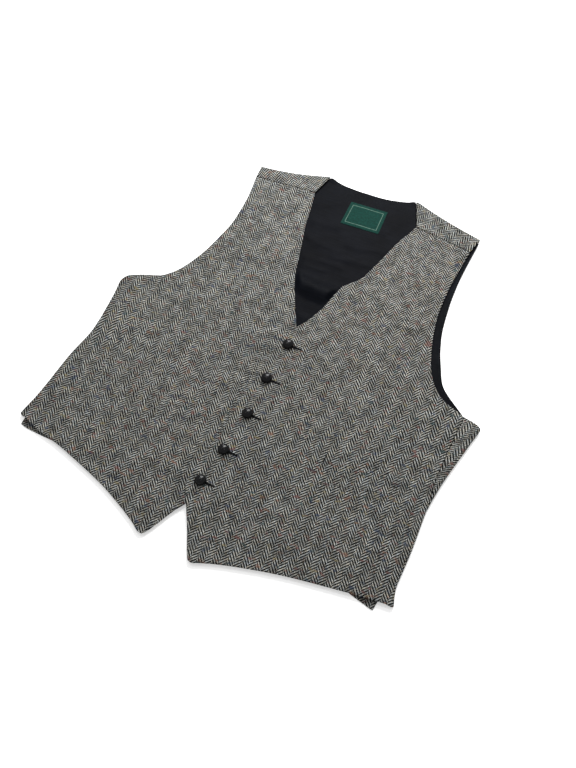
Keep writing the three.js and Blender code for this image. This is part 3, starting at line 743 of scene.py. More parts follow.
@dataclass(frozen=True)
class Tweed:
    """Herringbone of thick woollen yarn: light ends over dark picks in a two-and-two twill.

    The twill turns back after every eighth end, where its lines are cut by half a repeat. Spacings
    and sway are in millimetres. cool and warm tint the yarns' drift, and worn_light and worn_dark
    are shares of the light colour where the nap is worn.
    """

    end_spacing: float = 1.03
    pick_spacing: float = 1.16
    ends_in_column: int = 8
    sway: float = 1.5
    hair: float = 0.55
    depth: float = 0.45
    light: Colour = (0.342, 0.346, 0.33)
    dark: Colour = (0.0035, 0.0038, 0.005)
    cool: Colour = (0.94, 1.0, 1.06)
    warm: Colour = (1.07, 1.0, 0.89)
    worn_light: float = 0.72
    worn_dark: float = 0.3
    flecks: tuple[Colour, ...] = (
        (0.29, 0.165, 0.12), (0.33, 0.28, 0.155), (0.22, 0.105, 0.095), (0.065, 0.085, 0.135),
        (0.07, 0.115, 0.12),
    )

    def yarn(self, graph: Graph, thread: Input, along: Input, base: Colour,
             seed: float) -> bpy.types.NodeSocket:
        """Colour of one set of yarns: marled, and drifting from cool to warm.

        Args:
            graph: Nodes of the material.
            thread: Number of the yarn.
            along: Place along it, in millimetres.
            base: Its mean colour.
            seed: Offset that sets it apart from the other set.

        Returns:
            The colour.
        """
        row = graph.math(Op.MULTIPLY, thread, 7.31)
        marl = graph.noise(graph.vector(row, along, seed), 0.42, 3)
        shade = graph.mapped(marl, 0.3, 0.7, 0.4, 1.6)
        drift = graph.noise(graph.vector(row, graph.math(Op.MULTIPLY, along, 0.4), seed + 40), 0.3, 2)
        cool, warm = (
            tuple(value * part for value, part in zip(base, tint)) for tint in (self.cool, self.warm)
        )
        return graph.shaded(graph.mix(graph.mapped(drift, 0.36, 0.64), cool, warm), shade)

    def flecked(self, graph: Graph, colour: Input, over: Input) -> bpy.types.NodeSocket:
        """Adds patches of dyed wool, clearer in the light ends than in the dark picks.

        Args:
            graph: Nodes of the material.
            colour: Colour of the yarns.
            over: One where an end lies on top, nought where a pick does.

        Returns:
            The colour.
        """
        across, up = graph.weave()
        strength = graph.math(Op.ADD, graph.math(Op.MULTIPLY, over, 0.45), 0.35)
        for k, fleck in enumerate(self.flecks):
            patch = graph.noise(graph.vector(
                graph.math(Op.MULTIPLY, across, 0.6), up, 31.7 * k + 3), 0.17, 1)
            share = graph.math(Op.MULTIPLY, graph.mapped(patch, 0.64, 0.78), strength)
            colour = graph.mix(share, colour, fleck)
        return colour

    def material(self) -> bpy.types.Material:
        """Makes the woven finish, with its yarns in relief.

        Returns:
            The material.
        """
        graph = Graph("tweed", Roughness=0.95, Specular_IOR_Level=0.03, Sheen_Weight=0.012,
                      Sheen_Roughness=0.6)
        across, along = graph.weave()
        sway = graph.noise(graph.vector(across, along), 0.045, 2)
        sway = graph.math(Op.MULTIPLY, graph.math(Op.SUBTRACT, sway, 0.5), self.sway)
        ends = graph.math(Op.DIVIDE, graph.math(Op.ADD, across, sway), self.end_spacing)
        picks = graph.math(Op.DIVIDE, graph.math(Op.ADD, along, sway), self.pick_spacing)
        end, pick = graph.math(Op.FLOOR, ends), graph.math(Op.FLOOR, picks)
        width = self.ends_in_column
        straight = graph.math(Op.MODULO, end, 2 * width)
        back = graph.math(Op.GREATER, straight, width - 0.5)
        turned = graph.math(Op.SUBTRACT, 2 * width + 1, straight)
        step = graph.chosen(back, straight, turned)
        phase = graph.math(Op.MODULO, graph.math(Op.ADD, step, pick), 4)
        over = graph.math(Op.LESS, phase, 1.5)

        end_part = graph.math(Op.FRACTION, ends)
        pick_part = graph.math(Op.FRACTION, picks)
        forward = graph.chosen(back, end_part, graph.math(Op.SUBTRACT, 1, end_part))
        warp = self.float_height(graph, end_part, graph.math(Op.ADD, phase, pick_part))
        weft_run = graph.math(Op.SUBTRACT, graph.math(Op.ADD, phase, forward), 2)
        weft = self.float_height(graph, pick_part, weft_run)
        hair = graph.noise(graph.vector(across, along, 5), 3.1, 4)
        relief = graph.math(
            Op.ADD, graph.chosen(over, weft, warp), graph.math(Op.MULTIPLY, hair, self.hair))

        worn = graph.mapped(graph.noise(graph.vector(across, along, 17), 0.05, 3), 0.5, 0.7, 0, 0.3)
        bright, dull = (
            tuple(value * share for value in self.light) for share in (self.worn_light, self.worn_dark)
        )
        light = graph.mix(worn, self.yarn(graph, end, along, self.light, 0.0), bright)
        dark = graph.mix(worn, self.yarn(graph, pick, across, self.dark, 71.0), dull)
        colour = self.flecked(graph, graph.mix(over, dark, light), over)
        shadow = graph.mapped(relief, 0.3, 1.15, 0.14, 1.2)
        cloud = graph.noise(graph.vector(across, along, 60), 0.08, 5)
        cloud = graph.mapped(cloud, 0.3, 0.7, 0.7, 1.3)
        colour = graph.shaded(colour, graph.math(Op.MULTIPLY, shadow, cloud))
        return graph.finish(colour, relief, self.depth, 0.8)

    def float_height(self, graph: Graph, side: Input, run: Input) -> bpy.types.NodeSocket:
        """Height of a yarn that passes over two others.

        (1 - (2 side - 1)^2) * (1 - 0.75 (run - 1)^2), where side goes from nought to one across
        the yarn and run from nought to two along the float.

        Args:
            graph: Nodes of the material.
            side: Place across the yarn.
            run: Place along the float.

        Returns:
            The height, from nought to one.
        """
        offset = graph.math(Op.SUBTRACT, graph.math(Op.MULTIPLY, side, 2), 1)
        round_top = graph.math(Op.SUBTRACT, 1, graph.math(Op.MULTIPLY, offset, offset))
        middle = graph.math(Op.SUBTRACT, run, 1)
        hump = graph.math(Op.MULTIPLY, graph.math(Op.MULTIPLY, middle, middle), 0.75)
        return graph.math(Op.MULTIPLY, round_top, graph.math(Op.SUBTRACT, 1, hump))


@dataclass(frozen=True)
class Satin:
    """Black lining with a low gloss and a fine weft-faced weave."""

    colour: Colour = (0.0022, 0.0027, 0.0042)
    yarn: float = 0.22

    def material(self) -> bpy.types.Material:
        """Makes the smooth finish, with soft streaks along the weft.

        Returns:
            The material.
        """
        graph = Graph("satin", Roughness=0.4, Specular_IOR_Level=0.022)
        across, along = graph.weave()
        streak = graph.noise(graph.vector(graph.math(Op.MULTIPLY, across, 0.05), along), 0.6, 4)
        cloud = graph.noise(graph.vector(across, along, 8), 0.03, 3)
        shade = graph.mapped(graph.math(Op.ADD, streak, cloud), 0.7, 1.3, 0.7, 1.4)
        thread = graph.math(Op.MULTIPLY, graph.wave(along, self.yarn), 0.18)
        relief = graph.math(Op.ADD, graph.math(Op.MULTIPLY, streak, 2), thread)
        return graph.finish(graph.shaded(self.colour, shade), relief, 0.12, 0.7)


@dataclass(frozen=True)
class LabelWeave:
    """Plain green woven label with a thin pale border, whose sizes are in millimetres."""

    ground: Colour = (0.0028, 0.031, 0.0235)
    border: Colour = (0.1, 0.17, 0.135)
    inset: float = 4.9
    line: float = 0.75
    rib: float = 0.5
    cross_rib: float = 0.36

    def material(self) -> bpy.types.Material:
        """Makes the woven finish: a rectangle drawn by its distance from the label's edge.

        Returns:
            The material.
        """
        graph = Graph("label_weave", Roughness=0.75, Specular_IOR_Level=0.08, Sheen_Weight=0.02,
                      Sheen_Roughness=0.5)
        across, along = graph.weave()
        edges = []
        for value, size in ((across, LABEL_WIDTH), (along, LABEL_HEIGHT)):
            middle = graph.math(Op.ABSOLUTE, graph.math(Op.SUBTRACT, value, size / 2))
            edges.append(graph.math(Op.SUBTRACT, size / 2, middle))
        inset = graph.math(Op.MINIMUM, *edges)
        away = graph.math(Op.ABSOLUTE, graph.math(Op.SUBTRACT, inset, self.inset))
        line = graph.mapped(away, self.line * 0.35, self.line * 0.65, 1, 0)
        grain = graph.math(
            Op.MULTIPLY, graph.wave(along, self.rib), graph.wave(across, self.cross_rib))
        shade = graph.mapped(graph.noise(graph.vector(across, along), 0.35, 4), 0.3, 0.7, 0.75, 1.25)
        colour = graph.shaded(graph.mix(line, self.ground, self.border), shade)
        relief = graph.math(Op.ADD, graph.math(Op.MULTIPLY, grain, 0.3), line)
        return graph.finish(colour, relief, 0.15, 0.8)


@dataclass(frozen=True)
class Leather:
    """Black leather with fine pores, worn a little paler in patches."""

    colour: Colour = (0.0014, 0.0017, 0.0023)
    worn: Colour = (0.005, 0.0056, 0.007)

    def material(self) -> bpy.types.Material:
        """Makes the grained finish.

        Returns:
            The material.
        """
        graph = Graph("leather", Roughness=0.15, Specular_IOR_Level=0.3)
        place = graph.place()
        pores = graph.node("ShaderNodeTexVoronoi", {"feature": "DISTANCE_TO_EDGE"}, Vector=place,
                           Scale=1900.0).outputs[0]
        grain = graph.mapped(pores, 0, 0.16)
        patch = graph.mapped(graph.noise(place, 420, 4), 0.5, 0.75, 0, 0.5)
        colour = graph.mix(patch, self.colour, self.worn)
        relief = graph.math(Op.ADD, grain, graph.noise(place, 700, 3))
        return graph.finish(colour, relief, 0.03, 0.4)


@dataclass(frozen=True)
class Thread:
    """Twisted sewing silk of one colour."""

    name: str
    colour: Colour

    def material(self) -> bpy.types.Material:
        """Makes the twisted finish: slanted plies, with a noise of fibres between them.

        Returns:
            The material.
        """
        graph = Graph(self.name, Roughness=0.7, Specular_IOR_Level=0.1)
        across, along = graph.weave()
        slant = graph.math(Op.ADD, graph.math(Op.MULTIPLY, across, 9), graph.math(
            Op.MULTIPLY, along, 7))
        ply = graph.math(Op.SINE, slant)
        fibre = graph.noise(graph.place(), 2600, 3)
        shade = graph.mapped(fibre, 0.3, 0.7, 0.7, 1.35)
        relief = graph.math(Op.ADD, ply, fibre)
        return graph.finish(graph.shaded(self.colour, shade), relief, 0.06, 0.7)


@dataclass
class FrontPanel:
    """Front of the garment, from the centre edge round the side fold to the side seam.

    edge holds x of the centre edge at height y, hem the height of the hem at x, and armhole x of
    the armhole at height y. underarm_row is the height on the centre edge of the row that meets the
    underarm, and seam has the ends of the shoulder seam, at the tip and at the neck. grain_turn
    holds the angle of the grain in degrees at height y, about the pivot.
    """

    name: str
    side: SideFold
    edge: Curve
    hem: Curve
    armhole: Curve
    underarm_row: float
    seam: tuple[Pair, Pair]
    height: Height
    flat: Pair
    area: float
    rests_on: tuple[str, ...]
    grain_turn: Curve
    pivot: Pair
    step: float = 2.3
    lower_length: float = 290.0
    upper_length: float = 275.0
    width: float = 230.0
    strip_width: float = 56.0
    hem_reach: float = 0.3
    hem_turn: float = 0.3

    def turned(self, plan: Array) -> Array:
        """Cloth coordinates: the plan turned round the pivot by the grain's angle.

        Args:
            plan: Places, with x and y last.

        Returns:
            Coordinates across and along the grain, last.
        """
        angle = np.radians(self.grain_turn(plan[..., 1]))
        u, v = plan[..., 0] - self.pivot[0], plan[..., 1] - self.pivot[1]
        c, s = np.cos(angle), np.sin(angle)
        return np.stack([c * u + s * v, c * v - s * u], -1) + self.pivot

    def surface(self) -> Surface:
        """Middle of the cloth.

        Rows are blended from the centre edge to the outer line, their lower ones pulled down to
        the curved hem, and the strip below the armhole turns round the side fold to the seam.

        Returns:
            The sheet.
        """
        gap = LAYERS.seam_gap / 2
        tip_y, neck_y = (end[1] - gap for end in self.seam)
        side, point_y = self.side, min(self.edge.rows)[0]
        lower = graded(self.lower_length, self.step, start=True, stop=True)
        upper = graded(self.upper_length, self.step, stop=True)[1:]
        joint_y = side.row_y(lower, LAYERS.joint)
        joint_x = side.centre(joint_y) - side.sign * (LAYERS.joint - LAYERS.quarter)
        inner_y = np.concatenate([
            lerp(point_y, self.underarm_row, lower),
            lerp(self.underarm_row, neck_y, upper),
        ])
        armhole_y = lerp(min(self.armhole.rows)[0], tip_y, upper**1.3)
        outer_y = np.concatenate([joint_y, armhole_y])
        outer_x = np.concatenate([joint_x, self.armhole(armhole_y)])
        share = graded(self.width, self.step, start=True, stop=True)[None]
        x = lerp(self.edge(inner_y)[:, None], outer_x[:, None], share)
        y = lerp(inner_y[:, None], outer_y[:, None], share)
        pull = np.concatenate([1 - smooth(0, self.hem_reach, lower), np.zeros(len(upper))])[:, None]
        y = y + (self.hem(x[0]) - y[0])[None] * pull
        main = np.stack([x, y, self.height(x, y)], -1)

        end = (side.seam_end(lower) + gap)[:, None]
        s = lerp(LAYERS.joint, end, graded(self.strip_width, 1.0, stop=True)[None])
        strip_y = side.row_y(lower[:, None], s)
        strip = side.place(s, strip_y, self.height)
        strip_u = side.centre(strip_y) - side.sign * (s - LAYERS.quarter)
        strip[:, 0] = main[: len(lower), -1]
        grids = [
            (main, self.turned(main[..., :2])), (strip, self.turned(np.stack([strip_u, strip_y], -1))),
        ]
        return Surface.welded(grids, flip=side.sign < 0)

    def build(self, tweed: bpy.types.Material) -> bpy.types.Object:
        """Makes the panel, in place of its CAD solid.

        Args:
            tweed: Its finish.

        Returns:
            The cloth.
        """
        shell = self.surface().shell(LAYERS.cloth, LAYERS.rounding, self.hem_turn)
        piece = make_object(self.name + "_cloth", shell, tweed)
        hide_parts(self.name)
        return piece


@dataclass
class BackPanel:
    """Back of the garment, with the strip that turns over the left side and both shoulder bands.

    The armholes hold x at height y, hem and neck heights at x, and the seams the ends of the
    shoulder seams on the fronts, at the tip and at the neck. A vent opens the lower vent_height of
    each side seam: the back drops by vent_drop there, right and left, and stands off by vent_spread.
    The top line is numbered by shoulder_columns and neck_columns, and lower_rows and upper_rows
    share out the height. hem_reach and neck_reach are the shares of it over which the hem and the
    top line pull the rows, and corner_reach the share over which an armhole runs into its corner.
    """

    right_armhole: Curve
    left_armhole: Curve
    hem: Curve
    neck: Curve
    right_seam: tuple[Pair, Pair]
    left_seam: tuple[Pair, Pair]
    vent_height: float = 0.16
    vent_drop: Pair = (10.0, 14.0)
    vent_spread: float = 2.5
    shoulder_columns: int = 5
    neck_columns: int = 8
    lower_rows: int = 20
    upper_rows: int = 19
    part_height: float = 270.0
    row_step: float = 3.6
    hem_reach: float = 0.4
    neck_reach: float = 0.5
    corner_reach: float = 0.1
    shoulder_widths: Pair = (102.0, 110.0)
    shoulder_step: float = 2.6
    neck_parts: int = 32
    strip_width: float = 60.0

    def top(self, column: Array) -> Array:
        """Top line in plan: shoulder, neck, shoulder.

        Args:
            column: Column numbers.

        Returns:
            Point of the line at each.
        """
        shoulder, neck = self.shoulder_columns, self.neck_columns
        along = np.clip(column / shoulder, 0, 1)
        right = RIGHT_SHOULDER.line(along) - RIGHT_SHOULDER.out * RIGHT_SHOULDER.joint(along)[:, None]
        along = np.clip(1 - (column - shoulder - neck) / shoulder, 0, 1)
        left = LEFT_SHOULDER.line(along) - LEFT_SHOULDER.out * LEFT_SHOULDER.joint(along)[:, None]
        (x0, y0), (x1, y1) = min(self.neck.rows), max(self.neck.rows)
        share = (column - shoulder - 1) / (neck - 2)
        x = lerp(x0, x1, share)
        middle = np.stack([x, self.neck(x)], -1)
        middle = np.where((share < 0)[:, None], lerp(right[-1], (x0, y0), 1 + share[:, None] * (
            neck - 2)), middle)
        middle = np.where((share > 1)[:, None], lerp((x1, y1), left[0], (share[:, None] - 1) * (
            neck - 2)), middle)
        inside = np.where((column >= shoulder + neck)[:, None], left, middle)
        return np.where((column <= shoulder)[:, None], right, inside)

    def columns(self) -> Array:
        """Columns of the mesh, close at both armholes.

        Returns:
            Their numbers, with fractions between the whole ones.
        """
        shoulder, neck = self.shoulder_columns, self.neck_columns
        right_width, left_width = self.shoulder_widths
        first = graded(right_width, self.shoulder_step, start=True) * shoulder
        last = shoulder + neck + graded(left_width, self.shoulder_step, stop=True) * shoulder
        middle = np.linspace(shoulder, shoulder + neck, self.neck_parts + 1)[1:-1]
        return np.concatenate([first, middle, last])

    def grids(self) -> list[tuple[Array, Array]]:
        """Main panel, side strip and both shoulder bands.

        Rows of the main panel are blended from its right border to its left one, and pulled to
        the curved hem and to the top line near them.

        Returns:
            Points and cloth coordinates of each grid.
        """
        gap = LAYERS.seam_gap / 2
        lower = graded(self.part_height, self.row_step, start=True, stop=True)
        upper = graded(self.part_height, self.row_step)[1:]
        vent = (1 - np.clip(lower / self.vent_height, 0, 1)) ** 2
        right_s = RIGHT_SIDE.seam_end(lower) - gap - self.vent_spread * vent
        right_y = RIGHT_SIDE.row_y(lower, right_s) - self.vent_drop[0] * vent
        right = RIGHT_SIDE.place(right_s, right_y, front_height)[:, :2]
        end = (LEFT_SIDE.seam_end(lower) - gap - self.vent_spread * vent)[:, None]
        s = lerp(-LAYERS.joint, end, graded(self.strip_width, 1.2, stop=True)[None])
        fall = self.vent_drop[1] * vent[:, None] * smooth(-80, -20, s)
        strip_y = LEFT_SIDE.row_y(lower[:, None], s) - fall
        strip = LEFT_SIDE.place(s, strip_y, front_height)
        strip_u = LEFT_SIDE.centre(strip_y) + (s + LAYERS.quarter)

        column = self.columns()
        top = self.top(column)
        t = upper**1.2
        corners = []
        for armhole, corner in ((self.right_armhole, top[0]), (self.left_armhole, top[-1])):
            y = lerp(min(armhole.rows)[0], corner[1], t)
            x = lerp(armhole(y), corner[0], smooth(1 - self.corner_reach, 1, t))
            corners.append(np.stack([x, y], -1))
        left_line = np.concatenate([right, corners[0]])
        right_line = np.concatenate([strip[:, 0, :2], corners[1]])
        rows = self.lower_rows + self.upper_rows
        up = np.concatenate([self.lower_rows * lower, self.lower_rows + self.upper_rows * upper]) / rows
        share = (top[:, 0] - top[0, 0]) / (top[-1, 0] - top[0, 0])
        across = lerp(column[None] / column[-1], share[None], up[:, None])
        place = lerp(left_line[:, None], right_line[:, None], across[..., None])
        pull = np.concatenate([1 - smooth(0, self.hem_reach, lower), np.zeros(len(upper))])[:, None]
        hem_line = lerp(left_line[0], right_line[0], across[0][:, None])
        place[..., 1] += (self.hem(hem_line[:, 0]) - hem_line[:, 1])[None] * pull
        raised = top[:, 1] - lerp(top[0, 1], top[-1, 1], share)
        place[..., 1] += raised[None] * smooth(1 - self.neck_reach, 1, up)[:, None]
        main = np.concatenate([place, np.full_like(place[..., :1], LAYERS.back)], -1)
        strip[:, 0] = main[: len(lower), -1]
        result = [(main, main[..., :2].copy()), (strip, np.stack([strip_u, strip_y], -1))]
        count = self.shoulder_columns
        on_right = column[column <= count] / count
        on_left = 1 - (column[column >= column[-1] - count] - column[-1] + count) / count
        for fold, along, seam, base in (
            (RIGHT_SHOULDER, on_right, self.right_seam, main[-1, : len(on_right)]),
            (LEFT_SHOULDER, on_left, self.left_seam, main[-1, -len(on_left):]),
        ):
            result.append(self.band(fold, along, seam, base))
        return result

    def band(self, fold: ShoulderFold, along: Array, seam: tuple[Pair, Pair],
             base: Array) -> tuple[Array, Array]:
        """Shoulder band: level underneath, a half circle over the fold, then to the seam.

        Args:
            fold: Shoulder that it turns over.
            along: Shares of the way from tip to neck.
            seam: Ends of the shoulder seam on the front, at the tip and at the neck.
            base: Points of the back's top line, which the band starts from.

        Returns:
            Its points and cloth coordinates.
        """
        line, start, out = fold.line(along), fold.start(along), fold.out
        turn_start = line - out * start[:, None]
        radius = LAYERS.fold_radius
        angle = np.linspace(-np.pi / 2, np.pi / 2, 15)[:, None, None]
        reach = radius * np.cos(angle)
        turned = turn_start[None] + out * reach
        turned_z = np.broadcast_to(LAYERS.back + radius * (1 + np.sin(angle)), turned[..., :1].shape)
        turned_weave = turn_start[None] + out * radius * (angle + np.pi / 2)
        under = lerp(base[None, :, :2], turn_start[None], np.array([0, 0.5])[:, None, None])
        under_z = np.full_like(under[..., :1], LAYERS.back)

        end = lerp(np.array(seam[0]), np.array(seam[1]), along[:, None])
        end[:, 1] += LAYERS.seam_gap / 2
        share = graded(24, 1.8, stop=True)[1:, None, None]
        top = lerp(turn_start[None], end[None], share)
        top_z = front_height(top[..., 0], top[..., 1])[..., None]
        depth = ((turn_start[None] - top) * out).sum(-1, keepdims=True)
        top_weave = top + out * (np.pi * radius + 2 * depth)
        points = np.concatenate([
            np.concatenate(pair, -1) for pair in ((under, under_z), (turned, turned_z), (top, top_z))
        ])
        return points, np.concatenate([under, turned_weave, top_weave])

    def build(self, tweed: bpy.types.Material) -> bpy.types.Object:
        """Makes the panel, in place of its CAD solid.

        Args:
            tweed: Its finish.

        Returns:
            The cloth.
        """
        surface = Surface.welded(self.grids())
        piece = make_object("back_cloth", surface.shell(LAYERS.cloth, LAYERS.rounding), tweed)
        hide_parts("back")
        return piece


@dataclass
class BackLining:
    """Lining that lies in the back, level under the fronts and softly creased where it is bare.

    bottom holds the height of its lower border at x. Its sides keep fold_inset from the side folds
    and reach out past the back's armholes by edge_reach. It is bare between the fronts above the
    height bare_from, in the neck. width and length set how many faces it has.
    """

    back: BackPanel
    creases: tuple[Crease, ...]
    bottom: Curve = Curve(((-255, -236), (-60, -242), (248, -262)))
    fold_inset: float = 8.8
    edge_reach: float = 0.5
    thickness: float = 0.7
    rounding: float = 0.5
    bare_from: float = 20.0
    width: float = 400.0
    length: float = 540.0
    step: float = 2.6
    rounds: int = 12

    def side_lines(self) -> tuple[Curve, Curve]:
        """Right and left borders: beside the side folds, then along the armholes.

        Returns:
            x of each border at height y.
        """
        low, heights = (-262, -190, -120, -60), (30, 53, 80, 110, 142, 170, 200, 230, 264)
        lines = []
        for side, armhole, underarm in (
            (RIGHT_SIDE, self.back.right_armhole, -16), (LEFT_SIDE, self.back.left_armhole, -24),
        ):
            rows = [(y, float(side.fold(y)) - side.sign * self.fold_inset) for y in (*low, underarm)]
            rows += [(y, float(armhole(y)) + side.sign * self.edge_reach) for y in heights]
            lines.append(Curve(tuple(rows)))
        return tuple(lines)

    def top_line(self) -> Curve:
        """Top border: inside the shoulder folds and along the neck, a little above the back.

        Returns:
            Height of the border at x.
        """
        places = (-66.4, -53, -40, -20, 0, 14, 28, 42, 55, 64.2)
        neck = [(x, float(self.back.neck(x)) + 0.1) for x in places]
        right = [(-168.3, 262.9), (-110.0, 276.5), (-71.0, 286.4), (-68.7, 288.6), (-67.5, 292.4)]
        left = [(65.3, 301.6), (66.3, 299), (68.0, 297.2), (115.0, 283.2), (171.0, 270.0)]
        return Curve(tuple(right + neck + left))

    def level(self, x: Array, y: Array) -> Array:
        """Top height of the lining, with its creases where nothing lies on it.

        Args:
            x: Places across.
            y: Places up the garment.

        Returns:
            Height at each place.
        """
        free = smooth(0.5, 9, x - RIGHT_EDGE(y)) * smooth(0.5, 9, LEFT_FRONT.edge(y) - x)
        creased = sum(crease.rise(x, y) for crease in self.creases) + 0.25 * ripple(2 * x, 2.4 * y)
        bare = np.where(y > self.bare_from, free, 0)
        strip = smooth(2, 12, x - LEFT_FRONT.armhole(y)) * smooth(20, 50, y)
        puffed = 0.35 * strip * (1 + ripple(3 * x, 3 * y))
        return LAYERS.lining_top - 0.1 + np.maximum(creased, -0.5) * bare + puffed

    def surface(self) -> Surface:
        """Sheet whose rows and columns are moved in turn until they meet all four borders.

        Returns:
            The middle of the cloth.
        """
        right, left = self.side_lines()
        top = self.top_line()
        across = graded(self.width, self.step, start=True, stop=True)[None]
        up = graded(self.length, self.step, start=True, stop=True)[:, None]
        x = lerp(-160.0, 160.0, across) + 0 * up
        y = lerp(self.bottom(x), top(x), up)
        for _ in range(self.rounds):
            x = lerp(right(y), left(y), across)
            y = lerp(self.bottom(x), top(x), up)
        z = self.level(x, y) - self.thickness / 2
        points = np.stack([x, y, z], -1)
        return Surface.welded([(points, points[..., :2].copy())])

    def build(self, satin: bpy.types.Material) -> bpy.types.Object:
        """Makes the lining, in place of its CAD solid.

        Args:
            satin: Its finish.

        Returns:
            The cloth.
        """
        shell = self.surface().shell(self.thickness, self.rounding)
        piece = make_object("lining_cloth", shell, satin)
        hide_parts("back_lining")
        return piece


@dataclass
class PocketWelt:
    """Strip of the front's own cloth over a pocket's mouth, matched to the pattern but for a shift.

    It rises by rise from the line between lower_ends. lift is how far its inner side lies from the
    front's outer one, and rounding how far its edges round off.
    """

    name: str
    lower_ends: tuple[Pair, Pair]
    rise: float
    height: Height
    shift: float
    rests_on: str
    thickness: float = 1.0
    lift: float = -0.75
    rounding: float = 0.55

    def build(self, tweed: bpy.types.Material) -> bpy.types.Object:
        """Makes the welt: the front's surface under a slanted strip, moved out.

        Args:
            tweed: Its finish.

        Returns:
            The cloth, in place of its CAD solid.
        """
        across = graded(96, 1.6, start=True, stop=True)[None]
        up = graded(27, 1.3, start=True, stop=True)[:, None]
        (x0, y0), (x1, y1) = self.lower_ends
        x = lerp(x0, x1, across) + 0 * up
        y = lerp(y0, y1, across) + self.rise * up
        sag = 0.25 * np.sin(np.pi * across) * smooth(0.55, 1, up)
        z = self.height(x, y) + LAYERS.cloth / 2 + self.lift + self.thickness / 2 + sag
        points = np.stack([x, y, z], -1)
        weave = np.stack([x + self.shift, y + 0.4], -1)
        surface = Surface.welded([(points, weave)])
        piece = make_object(self.name + "_cloth", surface.shell(self.thickness, self.rounding), tweed)
        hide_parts(self.name)
        return piece


@dataclass
class NeckLabel:
    """Woven label sewn on the lining: corners from the lower right one round to the upper."""

    corners: tuple[Pair, ...]
    lining: BackLining
    thickness: float = 0.45
    gap: float = 0.08
    rounding: float = 0.3
    bulge: float = 0.35
    stitch: float = 1.6
    spacing: float = 2.6
    stitch_inset: float = 1.1

    def place(self, across: Array, up: Array) -> tuple[Array, Array]:
        """Plan of the label, blended between its four corners.

        Args:
            across: Shares of the way across.
            up: Shares of the way up.

        Returns:
            x and y of each place.
        """
        a, b, c, d = (np.array(corner) for corner in self.corners)
        low = lerp(a, b, across[..., None])
        high = lerp(d, c, across[..., None])
        plan = lerp(low, high, up[..., None])
        return plan[..., 0], plan[..., 1]

    def build(self, label: bpy.types.Material) -> bpy.types.Object:
        """Makes the label, which follows the lining under it and bulges between its stitches.

        Args:
            label: Its finish.

        Returns:
            The cloth, in place of its CAD solid.
        """
        across, up = np.meshgrid(*(
            graded(size, 1.4, start=True, stop=True) for size in (LABEL_WIDTH, LABEL_HEIGHT)
        ))
        x, y = self.place(across, up)
        bulge = self.bulge * np.sin(np.pi * across) * np.sin(np.pi * up)
        z = self.lining.level(x, y) + self.gap + self.thickness / 2 + bulge
        weave = np.stack([across * LABEL_WIDTH, up * LABEL_HEIGHT], -1)
        surface = Surface.welded([(np.stack([x, y, z], -1), weave)])
        piece = make_object("label_cloth", surface.shell(self.thickness, self.rounding), label)
        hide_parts("neck_label")
        return piece

    def stitches(self, thread: bpy.types.Material) -> bpy.types.Object:
        """Makes the small straight stitches that hold the label's four sides down.

        Args:
            thread: Their finish.

        Returns:
            All stitches as one piece.
        """
        inset = self.stitch_inset
        starts, ends = [], []
        for size, fixed, turned in (
            (LABEL_WIDTH, inset, False), (LABEL_WIDTH, LABEL_HEIGHT - inset, False),
            (LABEL_HEIGHT, inset, True), (LABEL_HEIGHT, LABEL_WIDTH - inset, True),
        ):
            at = np.arange(1.4, size - 2.4, self.spacing)
            for store, run in ((starts, at), (ends, at + self.stitch)):
                pair = (np.full_like(run, fixed), run) if turned else (run, np.full_like(run, fixed))
                store.append(np.stack(pair, -1))
        lines = []
        for group in (starts, ends):
            flat = np.concatenate(group)
            x, y = self.place(flat[:, 0] / LABEL_WIDTH, flat[:, 1] / LABEL_HEIGHT)
            z = self.lining.level(x, y) + self.gap + self.thickness
            lines.append(np.stack([x, y, z], -1))
        surface = stitch_arches(lines[0], lines[1], rise=0.16, radius=0.17)
        piece = make_object("label_stitches", surface, thread)
        return piece


def tubes(paths: Array, radius: Array | float, sides: int = 6) -> Surface:
    """Closed round tubes along many paths of the same number of points.

    Each ring is radius * (cos a * first + sin a * second), where both are square to the path, and
    the first and the last ring shrink to the path's ends.

    Args:
        paths: Points, as path, place on it, coordinate.
        radius: Radius of the tubes, or one for each place.
        sides: Number of sides.

    Returns:
        All tubes as one surface.
    """
    count, places = paths.shape[:2]
    run = np.gradient(paths, axis=1)
    run /= np.linalg.norm(run, axis=-1, keepdims=True)
    aside = np.cross(run, np.array([0.02, 0.03, 1.0]))
    aside /= np.maximum(np.linalg.norm(aside, axis=-1, keepdims=True), 1e-9)
    up = np.cross(aside, run)
    size = np.broadcast_to(radius, (count, places)).copy()
    size[:, [0, -1]] *= 0.05
    angle = np.linspace(0, 2 * np.pi, sides, endpoint=False)
    ring = np.cos(angle)[:, None] * aside[:, :, None] + np.sin(angle)[:, None] * up[:, :, None]
    points = paths[:, :, None] + ring * size[:, :, None, None]
    index = np.arange(count * places * sides).reshape(count, places, sides)
    following = np.roll(index, -1, 2)
    corners = (index[:, :-1], following[:, :-1], following[:, 1:], index[:, 1:])
    quads = np.stack([corner.ravel() for corner in corners], -1)
    caps = []
    for ends, order in ((index[:, 0], slice(None, None, -1)), (index[:, -1], slice(None))):
        for k in range(1, sides - 2, 2):
            caps.append(ends[:, [0, k, k + 1, k + 2]][:, order])
    length = np.linalg.norm(np.diff(paths, axis=1), axis=-1).cumsum(1)
    length = np.concatenate([np.zeros((count, 1)), length], 1)
    weave = np.stack(np.broadcast_arrays(angle * np.mean(radius), length[..., None]), -1)
    return Surface(points.reshape(-1, 3), weave.reshape(-1, 2), np.concatenate([quads, *caps]))


